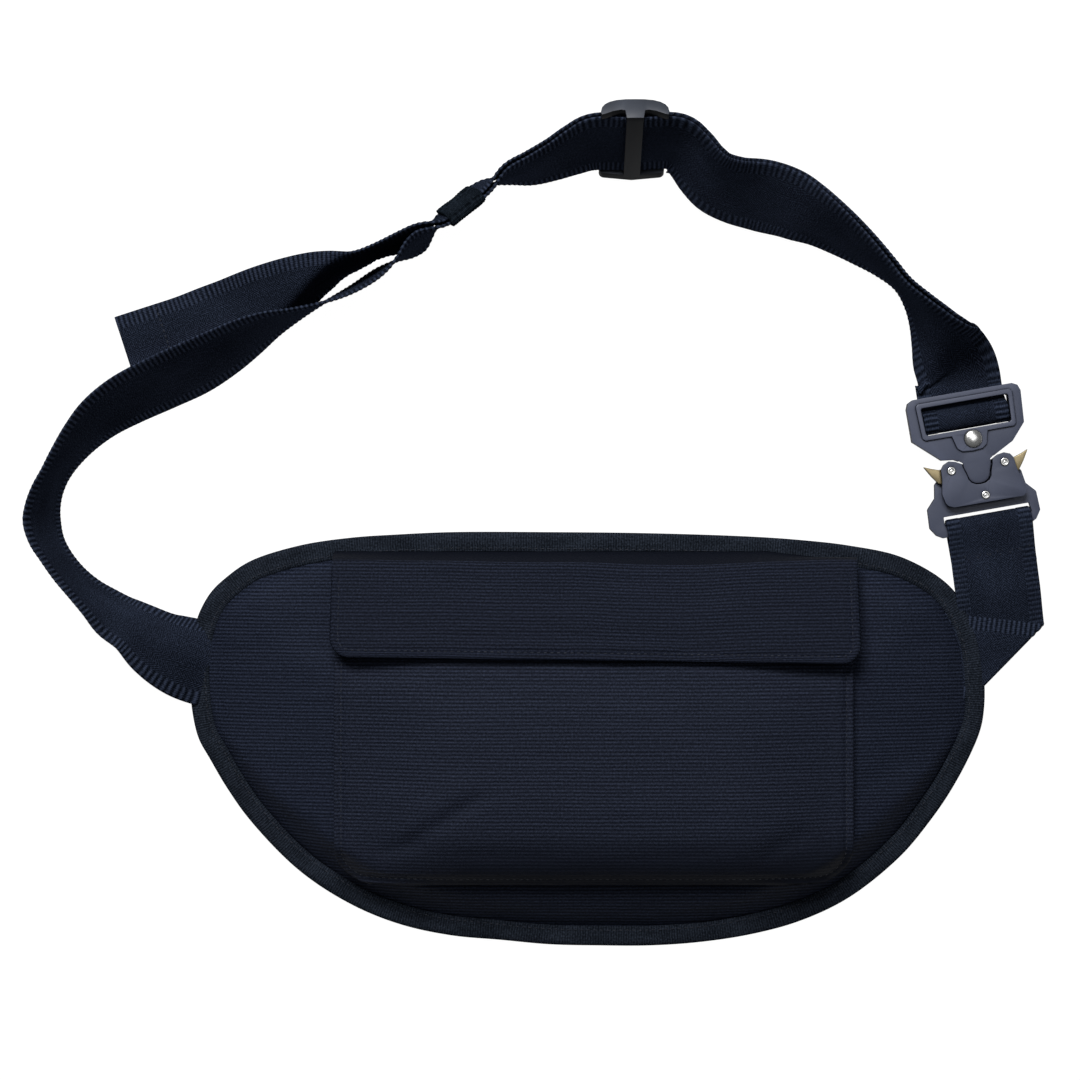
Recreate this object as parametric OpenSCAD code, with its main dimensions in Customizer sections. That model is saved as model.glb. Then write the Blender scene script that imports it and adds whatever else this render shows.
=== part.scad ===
// Waist pack: half-moon pouch with a bellows front pocket under a hinged flap,
// a zip below the flap, and a webbing belt with a metal quick-release buckle.
// Lies on its back: +Z is the front of the pack, +Y is its top edge, +X its wearer-right side.
// Origin: middle of the back panel's resting face.

/* [Bag] */
// Height of the main compartment's crown above the back face
crown_h = 21; // [18:0.5:22]
// Fabric thickness of the front panel
shell_t = 1.2; // [0.8:0.1:1.4]
// Visible width of the edge binding
bind_w = 9; // [7:0.5:10]
// Total thickness of the bound edge
bind_h = 3.4; // [3.2:0.1:4]
// Thickness of the foam back padding
pad_t = 2.6; // [1.5:0.1:3]

/* [Pocket and flap] */
// Height of the pocket's highest point
pocket_h = 37; // [32:0.5:38]
// Corner radius at the pocket's bottom
pocket_r = 15; // [10:1:20]
// Corner radius of the flap
flap_r = 9; // [5:1:12]
// Slope of the flap when it is closed, in degrees
flap_slope = 16.7; // [14:0.1:18]

/* [Belt] */
// Width of the belt webbing
web_w = 38; // [36:0.5:38]
// Thickness of the belt webbing
web_t = 1.4; // [1:0.1:1.6]
// Gap between the two layers of doubled webbing, centre to centre
web_gap = 2.2; // [2:0.1:2.4]

/* [Buckle] */
// Width of the male half's frame
male_w = 51.4; // [50:0.2:52]
// Diameter of the dome rivet on the male half
dome_d = 7.7; // [6:0.1:8.5]
// Diameter of the small cover rivets
rivet_d = 3.6; // [3:0.1:4]

/* [Zip] */
// Length of the zip slot
zip_len = 190; // [184:1:190]
// Width of the zip slot
zip_gap = 5.6; // [5:0.1:6]

/* [Hidden] */
$fn = 32;

// ---- outline of the bag, clockwise from the left tip -------------------
OUT = [[-178, 33], [-175, 53], [-169, 65], [-162, 72], [-151, 79.5], [-129, 86.5], [-106, 90], [-84, 91.5],
    [-61, 92.5], [-17, 92.5], [28, 92], [73, 90.5], [95, 89], [117, 86.5], [140, 81.5], [159, 71], [167, 62],
    [175, 44], [177.5, 26], [177.5, 15], [176, 5], [171, -7.5], [162, -24], [153, -37], [140, -52.5],
    [117, -71], [95, -81.5], [73, -87.5], [50, -91], [28, -92.5], [5, -92.5], [-17, -92], [-39, -90],
    [-61, -88], [-84, -83], [-106, -74], [-129, -59], [-151, -36.5], [-162, -21], [-169, -9], [-174, 0], [-177, 13]];
NO = len(OUT);
function unit(v) = v / norm(v);
function lerp(a, b, t) = a + (b - a) * t;
function clamp(v, a, b) = min(max(v, a), b);
function sstep(a, b, v) = let (t = clamp((v - a) / (b - a), 0, 1)) t * t * (3 - 2 * t);
// clockwise outline, so the inward normal is to the right of travel
function inset_pt(i, d) = let (a = OUT[(i + NO - 1) % NO], b = OUT[(i + 1) % NO], t = unit(b - a)) OUT[i] + d * [t[1], -t[0]];
function inset(d) = [for (i = [0 : NO - 1]) inset_pt(i, d)];
function seg_d(p, a, b) = let (ab = b - a, t = clamp(((p - a) * ab) / (ab * ab), 0, 1)) norm(p - a - t * ab);
function edge_d(p) = min([for (i = [0 : NO - 1]) seg_d(p, OUT[i], OUT[(i + 1) % NO])]);

// ---- height of the front panel's outer face ------------------------------
function top_h(d) = lookup(d, [[0, 2.5], [9, 2.8], [14, 6.4], [31, 12.2], [45, 13.5], [60, 17], [75, crown_h], [300, crown_h]]);
function bot_h(d) = lookup(d, [[0, 2.5], [9, 2.8], [13, 7], [20, 13], [30, 17.5], [45, 20], [70, crown_h], [300, crown_h]]);
function end_h(d) = lookup(d, [[0, 2.5], [9, 2.8], [20, 7.5], [40, 13.5], [70, 19], [95, crown_h], [400, crown_h]]);
function front_z(p) = let (d = edge_d(p))
    d < 9.3 ? 2.5 : min(top_h(92.5 - p[1]), bot_h(p[1] + 92.5), end_h(178 - abs(p[0])), 2.7 + 1.2 * (d - 9), crown_h);

// ---- generic loft: rings of equal length, closed at both ends
// A quad is split along its other diagonal in the first fi bands and from point fj of each ring on,
// so that both faces of a thin shell are split alike and stay parallel.
function ring_faces(n, m, fi, fj) = concat(
    [for (i = [0 : m - 2]) for (j = [0 : n - 1]) let (a = i * n + j, b = i * n + (j + 1) % n, c = (i + 1) * n + (j + 1) % n, d = (i + 1) * n + j)
        each (i < fi || j >= fj ? [[a, b, d], [b, c, d]] : [[a, b, c], [a, c, d]])],
    [[for (j = [n - 1 : -1 : 0]) j], [for (j = [0 : n - 1]) (m - 1) * n + j]]);
module loft(rings, fi = 0, fj = 1000) {
    n = len(rings[0]);
    polyhedron([for (r = rings) each r], ring_faces(n, len(rings), fi, fj));
}
// sheet between an upper and a lower grid of points
module sheet(top, bot) {
    m = len(top); n = len(top[0]);
    pts = concat([for (r = top) each r], [for (r = bot) each r]);
    o = m * n;
    polyhedron(pts, concat(
        [for (i = [0 : m - 2]) for (j = [0 : n - 2]) let (a = i * n + j) each [[a, a + n, a + n + 1], [a, a + n + 1, a + 1]]],
        [for (i = [0 : m - 2]) for (j = [0 : n - 2]) let (a = o + i * n + j) each [[a, a + n + 1, a + n], [a, a + 1, a + n + 1]]],
        [for (i = [0 : m - 2]) let (a = i * n, b = a + n) each [[a, o + b, b], [a, o + a, o + b]]],
        [for (i = [0 : m - 2]) let (a = i * n + n - 1, b = a + n) each [[a, b, o + b], [a, o + b, o + a]]],
        [for (j = [0 : n - 2]) each [[j, j + 1, o + j + 1], [j, o + j + 1, o + j]]],
        [for (j = [0 : n - 2]) let (a = (m - 1) * n + j) each [[a, o + a + 1, a + 1], [a, o + a, o + a + 1]]]));
}

// ---- bag shell -------------------------------------------------------------
module back_panel() {
    color([0.07, 0.08, 0.11]) {
        linear_extrude(1.2) polygon(inset(bind_w + 0.4));
        translate([0, 0, 0.95]) linear_extrude(0.6) polygon(inset(0.9));
    }
}
module back_padding() {
    color([0.2, 0.2, 0.22]) translate([0, 0, 1.65]) linear_extrude(pad_t - 1) polygon(inset(bind_w + 6));
}
module lining() {
    color([0.12, 0.13, 0.16]) translate([0, 0, pad_t + 0.85]) linear_extrude(0.4) polygon(inset(bind_w + 7));
}
RT = [0, 0, 0.15, 0.2, 0.27, 0.36, 0.48, 0.66, 0.96];
function spine(p) = [clamp(p[0], -70, 70), 12];
function ring_xy(t) = [for (p = OUT) lerp(p, spine(p), t)];
function ring_up(k) = [for (p = k == 0 ? inset(1) : k == 1 ? inset(bind_w + 0.3) : ring_xy(RT[k])) [p[0], p[1], k == len(RT) - 1 ? crown_h : k < 2 ? 2.5 : front_z(p)]];
function ring_dn(k) = [for (p = ring_up(k)) p - [0, 0, k < 2 ? 0.8 : shell_t]];
module front_skin() {
    loft(concat([for (k = [len(RT) - 1 : -1 : 0]) ring_dn(k)], [for (k = [0 : len(RT) - 1]) ring_up(k)]), fi = len(RT) - 1);
}
zip_y = 69;
zip_z = 6.4 + (92.5 - 69 - 14) * 5.8 / 17;
zip_a = atan(5.8 / 17);
module at_zip() { translate([0, zip_y, zip_z]) rotate([-zip_a, 0, 0]) children(); }
module front_panel() {
    color([0.09, 0.1, 0.14]) difference() {
        front_skin();
        at_zip() cube([zip_len, zip_gap, 6], center = true);
    }
}
module binding() {
    color([0.08, 0.09, 0.12]) difference() {
        linear_extrude(bind_h) polygon(OUT);
        translate([0, 0, 0.85]) linear_extrude(bind_h - 1.65) polygon(inset(0.75));
        translate([0, 0, -1]) linear_extrude(bind_h + 2) polygon(inset(bind_w));
    }
}

// ---- zip ---------------------------------------------------------------------
module zip_tape(s) {
    at_zip() translate([-zip_len / 2 - 3, s > 0 ? 1.5 : -1.5 - 6.5, -shell_t - 1.6]) cube([zip_len + 6, 6.5, 0.5]);
}
module zip_tape_upper() { color([0.05, 0.05, 0.07]) zip_tape(1); }
module zip_tape_lower() { color([0.05, 0.05, 0.07]) zip_tape(-1); }
// two rows of teeth with a small clear gap between the rows, each on its own carrier cord
zip_half = zip_len / 2 - 2.7;
module zip_teeth(s) {
    at_zip() translate([0, 0, -shell_t - 0.7]) {
        translate([-zip_half, s > 0 ? 0.15 : -1.45, -0.35]) cube([2 * zip_half, 1.3, 0.85]);
        for (i = [0 : 47]) translate([-zip_half + 0.2 + i * (2 * zip_half - 2) / 47, s > 0 ? 0.15 : -1.35, 0.4]) cube([1.6, 1.2, 0.9]);
    }
}
module zip_teeth_upper() { color([0.1, 0.1, 0.11]) zip_teeth(1); }
module zip_teeth_lower() { color([0.1, 0.1, 0.11]) zip_teeth(-1); }
module zip_stops() {
    color([0.35, 0.35, 0.37]) at_zip() for (s = [-1, 1])
        translate([s * (zip_len / 2 - 1.3) - 0.9, -2.4, -shell_t - 1.05]) cube([1.8, 4.8, 1.3]);
}
// slider at the right-hand end of its travel
slider_x = 88;
module zip_slider() {
    color([0.1, 0.1, 0.11]) at_zip() translate([slider_x, 0, 0]) {
        translate([-4.5, -2.4, 0.1]) cube([9, 4.8, 1]);
        translate([-4.5, -2.4, -0.9]) cube([9, 0.8, 1.1]);
        translate([-4.5, 1.6, -0.9]) cube([9, 0.8, 1.1]);
        // crown that carries the puller, open along Y for the puller's eye
        difference() {
            translate([-2.6, -1.2, 1]) cube([5.2, 2.4, 2.4]);
            translate([0, 0, 2]) rotate([90, 0, 0]) cylinder(h = 6, r = 0.75, center = true);
            translate([-1.5, -0.55, 1.05]) cube([3, 1.1, 1.6]);
        }
    }
}
module zip_puller() {
    color([0.14, 0.14, 0.16]) at_zip() translate([slider_x, 0, 2]) {
        rotate([90, 0, 0]) cylinder(h = 4.4, r = 0.68, center = true);
        for (s = [-1, 1]) translate([-16.5, s > 0 ? 1.4 : -2.2, -0.68]) cube([16.5, 0.8, 1.1]);
        translate([-24, -2.2, -0.68]) cube([8, 4.4, 1.1]);
    }
}

// ---- bellows pocket -------------------------------------------------------
PX0 = -111.5; PX1 = 116; PY0 = -62; PY1 = 62;
function line_z(y) = 19 + (62 - y) * tan(flap_slope);
function pocket_c(y) = lookup(y, [[-62, 24], [-57.5, 30.5], [-50, 34.5], [-40, pocket_h - 0.5], [-30, pocket_h], [-10, pocket_h - 2], [12, 32.6], [30, 28.3], [39, line_z(39)], [62, 19]]);
function pocket_side(x) = 1 - sstep(58, 111, abs(x - 2.7));
function pocket_z(p) = let (e = front_z([clamp(p[0], -108, 112.5), clamp(p[1], -60, 62)]) + 4.6)
    lerp(min(e, pocket_c(p[1])), pocket_c(p[1]), pocket_side(p[0]));
// how far the rounded bottom corners pull the side edges in at height y
function corner(y) = y > PY0 + pocket_r ? 0 : pocket_r - sqrt(max(0, pocket_r * pocket_r - pow(PY0 + pocket_r - y, 2)));
PYS = [-62, -61, -59, -56, -51, -45, -36, -22, -5, 15, 30, 39, 50, 62];
PUS = [0, 0.02, 0.06, 0.13, 0.24, 0.38, 0.5, 0.62, 0.76, 0.87, 0.94, 0.98, 1];
function pocket_xy(u, y) = [lerp(PX0 + corner(y), PX1 - corner(y), u), y];
module pocket_panel() {
    color([0.11, 0.12, 0.16]) sheet(
        [for (y = PYS) [for (u = PUS) let (p = pocket_xy(u, y)) [p[0], p[1], pocket_z(p)]]],
        [for (y = PYS) [for (u = PUS) let (p = pocket_xy(u, y)) [p[0], p[1], pocket_z(p) - 1]]]);
}
// U-shaped wall between the bag's front and the pocket panel
GP = concat([for (y = [60, 45, 30, 10, -10, -30]) [PX0 + 3, y]],
    [for (a = [0 : 22.5 : 90]) [PX0 + 3 + 12 * (1 - cos(a)), PY0 + 15 - 12 * sin(a)]],
    [for (x = [-70, -40, -10, 20, 50, 76]) [x, PY0 + 3]],
    [for (a = [90 : -22.5 : 0]) [PX1 - 3 - 12 * (1 - cos(a)), PY0 + 15 - 12 * sin(a)]],
    [for (y = [-30, -10, 10, 30, 45, 60]) [PX1 - 3, y]]);
function wall_ring(i) = let (n = len(GP), a = GP[max(i - 1, 0)], b = GP[min(i + 1, n - 1)], t = unit(b - a), r = [-t[1], t[0]], p = GP[i], q = p + 0.9 * r,
        zb = max(front_z(p), front_z(q)) + 1.6, zt = min(pocket_z(p), pocket_z(q)) - 1.6)
    [[p[0], p[1], zb], [q[0], q[1], zb], [q[0], q[1], zt], [p[0], p[1], zt]];
module pocket_gusset() {
    color([0.09, 0.1, 0.13]) loft([for (i = [0 : len(GP) - 1]) wall_ring(i)]);
}
// folded hem across the pocket's mouth
module pocket_hem() {
    color([0.11, 0.12, 0.16]) sheet(
        [for (y = [54, 61.5]) [for (u = [0.13, 0.24, 0.38, 0.5, 0.62, 0.76, 0.87]) let (p = pocket_xy(u, y)) [p[0], p[1], pocket_z(p) - 1.25]]],
        [for (y = [54, 61.5]) [for (u = [0.13, 0.24, 0.38, 0.5, 0.62, 0.76, 0.87]) let (p = pocket_xy(u, y)) [p[0], p[1], pocket_z(p) - 1.75]]]);
}
PADX = [-34, 40];
module pocket_hook_pads() {
    color([0.04, 0.04, 0.05]) for (x = PADX)
        translate([x, 50, line_z(50)]) rotate([-flap_slope, 0, 0]) translate([-15, -8, 0.25]) cube([30, 16, 0.9]);
}

// ---- flap ----------------------------------------------------------------------
fold_y = 78;
flap_top = 4.3;
fold_z = line_z(fold_y) + flap_top - 0.8;
module at_flap() { translate([0, fold_y, fold_z]) rotate([-flap_slope, 0, 0]) children(); }
FX0 = -113; FX1 = 118.5; FL = 42; FR = 45.1; // flap's sides and its left and right lengths
// rounded plate as a polygon, so that it stays an exact prism
function arc(c, r, a0, a1, n) = [for (k = [0 : n]) let (a = lerp(a0, a1, k / n)) [c[0] + r * cos(a), c[1] + r * sin(a)]];
function flap_poly(g) = concat([[FX0 + g, -g], [FX0 + g, -FL + flap_r]],
    arc([FX0 + flap_r, -FL + flap_r], flap_r - g, 180, 270, 6),
    arc([FX1 - flap_r, -FR + flap_r], flap_r - g, 270, 360, 6),
    [[FX1 - g, -g]]);
module flap_outer() {
    color([0.11, 0.125, 0.17]) at_flap() translate([0, 0, -0.2]) linear_extrude(1) polygon(flap_poly(0));
}
module flap_lining() {
    color([0.08, 0.09, 0.12]) at_flap() translate([0, 0, -0.95]) linear_extrude(0.6) polygon(flap_poly(0.8));
}
module flap_loop_pads() {
    color([0.05, 0.05, 0.06]) for (x = PADX)
        translate([x, 50, line_z(50)]) rotate([-flap_slope, 0, 0]) translate([-15, -8, 1.5]) cube([30, 16, 0.8]);
}
// strip of fabric that rises from the top binding to the fold
module flap_riser() {
    color([0.06, 0.07, 0.09]) sheet(
        [for (x = [FX0, -60, 0, 60, 90, FX1]) let (b = min(84, x > 80 ? 84 - (x - 80) * 0.13 : 84)) [[x, b, 3.75], [x, b - 0.6, 7], [x, 81, 12], [x, 80, fold_z - 1.4]]],
        [for (x = [FX0, -60, 0, 60, 90, FX1]) let (b = min(84, x > 80 ? 84 - (x - 80) * 0.13 : 84)) [[x, b - 1, 3.75], [x, b - 1.6, 7], [x, 80, 11.8], [x, 79, fold_z - 1.4]]]);
}

// ---- belt ------------------------------------------------------------------------
// A station is [x, y, tilt, z of the low edge]; tilt 0 lies flat and 90 stands on edge.
MAIN = [[-172, 33, 0, 1.7], [-180, 36, 5, 1.4], [-190, 42, 30, 1.2], [-199, 49, 48, 1], [-207, 55, 57, 1], [-214, 61, 62, 1], [-221, 67, 66, 1], [-228, 74, 67, 1],
    [-234, 82, 67, 1], [-238, 89, 66, 1], [-240, 97, 65, 1], [-239.5, 104, 65, 1], [-237.5, 111, 65, 1], [-234, 118, 65, 1], [-229, 126, 63, 1], [-222, 135, 60, 1],
    [-214, 143, 58, 1], [-203, 150.5, 57, 1], [-188, 158, 56, 1], [-174, 164.5, 58, 1], [-161, 171.5, 63, 1], [-150, 178, 70, 1], [-140, 183.5, 79, 1], [-129, 188, 89, 1],
    [-117, 193, 97, 1], [-104, 199, 102, 1.1], [-92, 206.5, 103, 1.4], [-81, 214.4, 102, 1.8], [-73.5, 220.2, 100, 2.1], [-65, 227, 100, 2.1], [-45, 243, 100, 2.1],
    [-35, 249, 88, 2.1], [-25, 253, 75, 2.6], [-15, 256.8, 67, 3.6], [-6, 260, 64, 5], [2, 262, 64, 6.2], [19.5, 262, 64, 6.2], [38.4, 262, 64, 6.2],
    [44, 257.4, 60, 5.4], [49.5, 251.6, 54, 4.4], [56, 247.4, 48, 3.6], [65, 244, 42, 3.2], [77, 241, 37, 3], [87, 238.5, 38, 3], [96, 235, 43, 3], [104, 230, 50, 2.8],
    [113, 224, 59, 2.6], [122, 217, 68, 2.6], [130, 209, 75, 2.6]];
FLEX = [[130.5, 208.5, 75, 2.6], [138, 201, 78, 2.6], [144.5, 194, 74, 2.6], [150, 187, 61, 2.6], [154.8, 180.2, 44, 2.8], [158.8, 174.4, 26, 3], [162, 169.8, 11, 3], [164.1, 165.6, 4, 3], [165.2, 161.3, 1, 3]];
TAIL = [[-208, 170, 2, 1], [-189, 176, 6, 1], [-168, 182.5, 18, 1], [-151, 189, 38, 1], [-133.5, 197.5, 62, 1], [-121.5, 202.5, 73, 1], [-109.5, 208, 79, 1], [-97.5, 214, 86, 1.2],
    [-85.5, 219.6, 94, 1.7]];
function st_c(s) = [s[0], s[1], s[3] + web_w / 2 * sin(s[2])];
function st_t(S, i) = unit(st_c(S[min(i + 1, len(S) - 1)]) - st_c(S[max(i - 1, 0)]));
function st_w(S, i) = let (t = st_t(S, i), h = unit([-t[1], t[0], 0])) cos(S[i][2]) * h + sin(S[i][2]) * [0, 0, 1];
function st_n(S, i) = unit(cross(st_t(S, i), st_w(S, i)));
WSEG = 4; // bands across the webbing
function st_ring(S, i, off) = let (w = st_w(S, i) * web_w / WSEG, n = st_n(S, i) * web_t / 2, c = st_c(S[i]) + off * st_n(S, i))
    concat([for (k = [0 : WSEG]) c + w * (k - WSEG / 2) - n], [for (k = [WSEG : -1 : 0]) c + w * (k - WSEG / 2) + n]);
module strap(rings) { loft(rings, fj = WSEG + 1); }
KEEP = 28; // index of MAIN's station where the straight run through the keeper starts
module strap_main() {
    color([0.05, 0.05, 0.07]) strap([for (i = [0 : len(MAIN) - 1]) st_ring(MAIN, i, 0)]);
}
module strap_return() {
    color([0.05, 0.05, 0.07]) strap(concat([for (i = [0 : len(TAIL) - 1]) st_ring(TAIL, i, 0)],
        [for (i = [KEEP : len(MAIN) - 1]) st_ring(MAIN, i, -web_gap)]));
}
module strap_flex() {
    color([0.05, 0.05, 0.07]) {
        strap([for (i = [0 : len(FLEX) - 1]) st_ring(FLEX, i, 0)]);
        strap([for (i = [0 : len(FLEX) - 1]) st_ring(FLEX, i, -web_gap)]);
    }
}

// ---- buckle ----------------------------------------------------------------------
// Local frame: origin under the dome rivet, +Y towards the belt, +X to the right.
module at_buckle() { translate([171, 134, 0]) rotate([0, 0, 9.9]) children(); }
function path_poly(P, t) = let (n = len(P), nv = [for (i = [0 : n - 1]) let (d = unit(P[min(i + 1, n - 1)] - P[max(i - 1, 0)])) [-d[1], d[0]]])
    concat([for (i = [0 : n - 1]) P[i] + nv[i] * t / 2], [for (i = [n - 1 : -1 : 0]) P[i] - nv[i] * t / 2]);
// belt webbing round a bar: profile in the local YZ plane, drawn along X
module web_profile(P, x0) { translate([x0, 0, 0]) rotate([90, 0, 90]) linear_extrude(web_w) polygon(path_poly(P, web_t)); }
bar_y = 11.3; bar_z = 5.2;
module strap_end_loop() {
    color([0.05, 0.05, 0.07]) at_buckle() web_profile(concat([[25.8, 1.1], [18, 1.1], [14, 1.6]],
        [for (a = [290 : -20 : 90]) [bar_y + 3.1 * cos(a), bar_z + 3.1 * sin(a)]], [[13.6, 7], [15.4, 4.4], [18, 3.05], [25.8, 3.05]]), -web_w / 2 - 1);
}
module strap_stub() {
    color([0.05, 0.05, 0.07]) {
        at_buckle() {
            // over the base plate's bar, through the slot and back underneath
            web_profile(concat([[-62, 3.4], [-52, 4], [-44.5, 5.6]], [for (a = [100 : -20 : -100]) [-39.2 + 4.8 * cos(a), 3.6 + 2.75 * sin(a)]], [[-46, 0.95], [-58, 0.95]]), -web_w / 2 + 1.4);
            translate([1.4, 0, 2.7]) linear_extrude(web_t) polygon([[-web_w / 2, -61.8], [web_w / 2, -61.8], [web_w / 2 - 1.6, -86], [-web_w / 2, -112]]);
        }
        // flat run from behind the bag's edge to the diagonal fold
        translate([0, 0, 1.15]) linear_extrude(web_t) polygon([[171, 58.6], [204, 52.6], [171, 19.6], [164, 21.2]]);
    }
}
module bevel_plate(P, z0, h) { translate([0, 0, z0]) linear_extrude(h) polygon(P); }
function mirror_x(P) = concat(P, [for (i = [len(P) - 1 : -1 : 0]) [-P[i][0], P[i][1]]]);
mx = -1; // the frame sits a little to the left of the tongue
MALE = [[0, 21.4], [male_w / 2 - 3.4, 21.4], [male_w / 2 - 1, 20.2], [male_w / 2, 17.6], [male_w / 2 - 0.9, 3.4], [18.4, -4], [9, -9], [-6.8, -9], [-8.6, -8], [-14.2, -7.3],
    [-male_w / 2, 3], [-male_w / 2, 17.6], [1 - male_w / 2, 20.2], [3.4 - male_w / 2, 21.4]];
WIN = mirror_x([[0, 17], [19, 17], [19.6, 16.4], [19.2, 5.4], [18.4, 4.6], [0, 4.6]]);
module male_plate() {
    color([0.16, 0.17, 0.2]) at_buckle() {
        translate([mx, 0, 0]) difference() {
            bevel_plate(MALE, 4.3, 3.7);
            translate([0, 0, -1]) linear_extrude(20) polygon(WIN);
            translate([1, 0, 0]) cylinder(h = 20, r = 1.6);
            // ends of the strap bar
            translate([-22.5, bar_y, bar_z]) rotate([0, 90, 0]) cylinder(h = 45, r = 2.05);
        }
        // tongue: notched for the lever hooks below, a plain round-ended tab in the cover's notch above
        translate([0, 0, 7]) linear_extrude(1) polygon(mirror_x([[0, -8], [7.6, -8], [7.6, -9], [6.1, -10.1], [6.1, -12], [5, -15.5], [4.6, -17.4], [3.6, -18.8], [2, -19.7], [0, -19.95]]));
        translate([0, 0, 4.9]) linear_extrude(2.15) polygon([[-5.2, -7], [5.2, -7], [5.2, -12.5], [3.9, -13.4], [3.9, -15.6], [5.2, -16.4], [4.4, -19], [2.4, -20.6], [-2.4, -20.6], [-4.4, -19], [-5.2, -16.4], [-3.9, -15.6], [-3.9, -13.4], [-5.2, -12.5]]);
    }
}
module male_bezel() {
    color([0.3, 0.32, 0.38]) at_buckle() translate([mx, 0, 0]) difference() {
        translate([0, 0, 8.05]) linear_extrude(0.9) polygon(mirror_x([[0, 19.2], [20.6, 19.2], [21.8, 18], [21.2, 3.6], [20, 2.4], [8, 2.4], [6.6, -3.4], [4.6, -5], [0, -5.4]]));
        translate([0, 0, -1]) linear_extrude(20) polygon(WIN);
        translate([1, 0, 0]) cylinder(h = 20, r = 1.6);
    }
}
module male_bar() {
    color([0.3, 0.3, 0.32]) at_buckle() translate([mx - 22.5, bar_y, bar_z]) rotate([0, 90, 0]) cylinder(h = 45, r = 2.0);
}
module dome_rivet() {
    color([0.8, 0.8, 0.8]) at_buckle() {
        translate([0, 0, 3.7]) cylinder(h = 5.4, r = 1.5);
        translate([0, 0, 3.3]) cylinder(h = 0.9, r = 2.6);
        translate([0, 0, 9.05]) intersection() {
            translate([0, 0, -3.6]) sphere(r = 5.27);
            cylinder(h = 3, r = dome_d / 2);
        }
    }
}
BASE = mirror_x([[0, -10.4], [12.5, -10.4], [15.5, -13.6], [19.6, -17.4], [20.6, -23.4], [24.6, -27.8], [25, -36.4], [22.6, -40], [19.8, -41.6], [0, -41.2]]);
LX = 12; LY = -12.6; // ear rivets, where the levers turn
module base_plate() {
    color([0.1, 0.1, 0.12]) at_buckle() difference() {
        bevel_plate(BASE, 2.2, 2.3);
        translate([0, 0, -1]) linear_extrude(20) polygon([[-18.1, -32.4], [20.6, -32.4], [21.1, -36.5], [-18.1, -36.5]]);
        for (s = [-1, 1]) translate([s * LX, LY, 0]) cylinder(h = 20, r = 1.25);
        translate([1.2, -25.6, 0]) cylinder(h = 20, r = 1.25);
    }
}
COVER = [[0, -20.5], [2.2, -20.25], [4.1, -19.2], [5.2, -17.6], [5.6, -15.6], [6.7, -12.2], [6.9, -10.3], [9.4, -8.9], [12.4, -8.4], [15, -9.4], [16.3, -11.2], [16.8, -15.7],
    [19.5, -26.2], [19.2, -27.8], [17.9, -28.9], [-13.3, -28.8], [-15.8, -27.8], [-16.9, -26.3], [-17.8, -22.1], [-16.6, -15.7], [-16.5, -11.4], [-15, -9.4], [-12.4, -8.2],
    [-9.6, -8.9], [-6.9, -10.3], [-6.7, -12.2], [-5.6, -15.6], [-5.2, -17.6], [-4.1, -19.2], [-2.2, -20.25]];
module cover_plate() {
    color([0.18, 0.19, 0.22]) at_buckle() {
        difference() {
            bevel_plate(COVER, 7.3, 1.8);
            for (s = [-1, 1]) translate([s * LX, LY, 0]) cylinder(h = 20, r = 1.25);
            translate([1.2, -25.6, 0]) cylinder(h = 20, r = 1.25);
        }
        // spacer block down to the base plate, behind the levers
        difference() {
            translate([-12.8, -28.6, 4.55]) cube([27, 4.1, 2.8]);
            translate([1.2, -25.6, 0]) cylinder(h = 20, r = 1.25);
        }
    }
}
// lever: turns about its ear rivet; wing outwards, hook towards the tongue
LEV = [[-1.9, 1.6], [-5, 1.4], [-8.6, 2.6], [-11.6, 3.9], [-10.2, 1.4], [-8.9, -0.8], [-6.2, -4.6], [-3.6, -5.4], [-2.2, -8.8], [-0.4, -10.4], [1.6, -10.4], [2.8, -7.6], [4, -3.4], [5.2, -2.9], [6, -2.6], [6, -1.4], [5, -0.9], [2.4, -0.2], [1.9, 1.6], [0, 2.5]];
module lever() {
    difference() {
        translate([0, 0, 4.8]) linear_extrude(2.2) polygon(LEV);
        translate([0, 0, 4]) cylinder(h = 4, r = 1.24);
    }
}
module lever_left() { color([0.66, 0.63, 0.56]) at_buckle() translate([-LX, LY, 0]) lever(); }
module lever_right() { color([0.66, 0.63, 0.56]) at_buckle() translate([LX, LY, 0]) mirror([1, 0, 0]) lever(); }
// small coil that pushes the two lever tails apart, drawn as its outer cylinder
module lever_springs() {
    color([0.6, 0.6, 0.6]) at_buckle() translate([-9.4, -22.3, 5.9]) rotate([0, 90, 0]) difference() {
        cylinder(h = 18.8, r = 1.05);
        translate([0, 0, -1]) cylinder(h = 21, r = 0.7);
    }
}
module buckle_rivets() {
    color([0.75, 0.75, 0.75]) at_buckle() for (p = [[-LX, LY], [LX, LY], [1.2, -25.6]]) translate([p[0], p[1], 0]) {
        translate([0, 0, 1.5]) cylinder(h = 8, r = 1.18);
        translate([0, 0, 1.4]) cylinder(h = 0.7, r = rivet_d / 2);
        translate([0, 0, 9.15]) cylinder(h = 0.55, r = rivet_d / 2);
    }
}

// ---- sliders on the belt -----------------------------------------------------
glide_tilt = 64;
module at_glide() { translate([19.5, 262, 6.2 + web_w / 2 * sin(glide_tilt)]) rotate([glide_tilt, 0, 0]) translate([0, 0, -web_gap / 2]) children(); }
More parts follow.
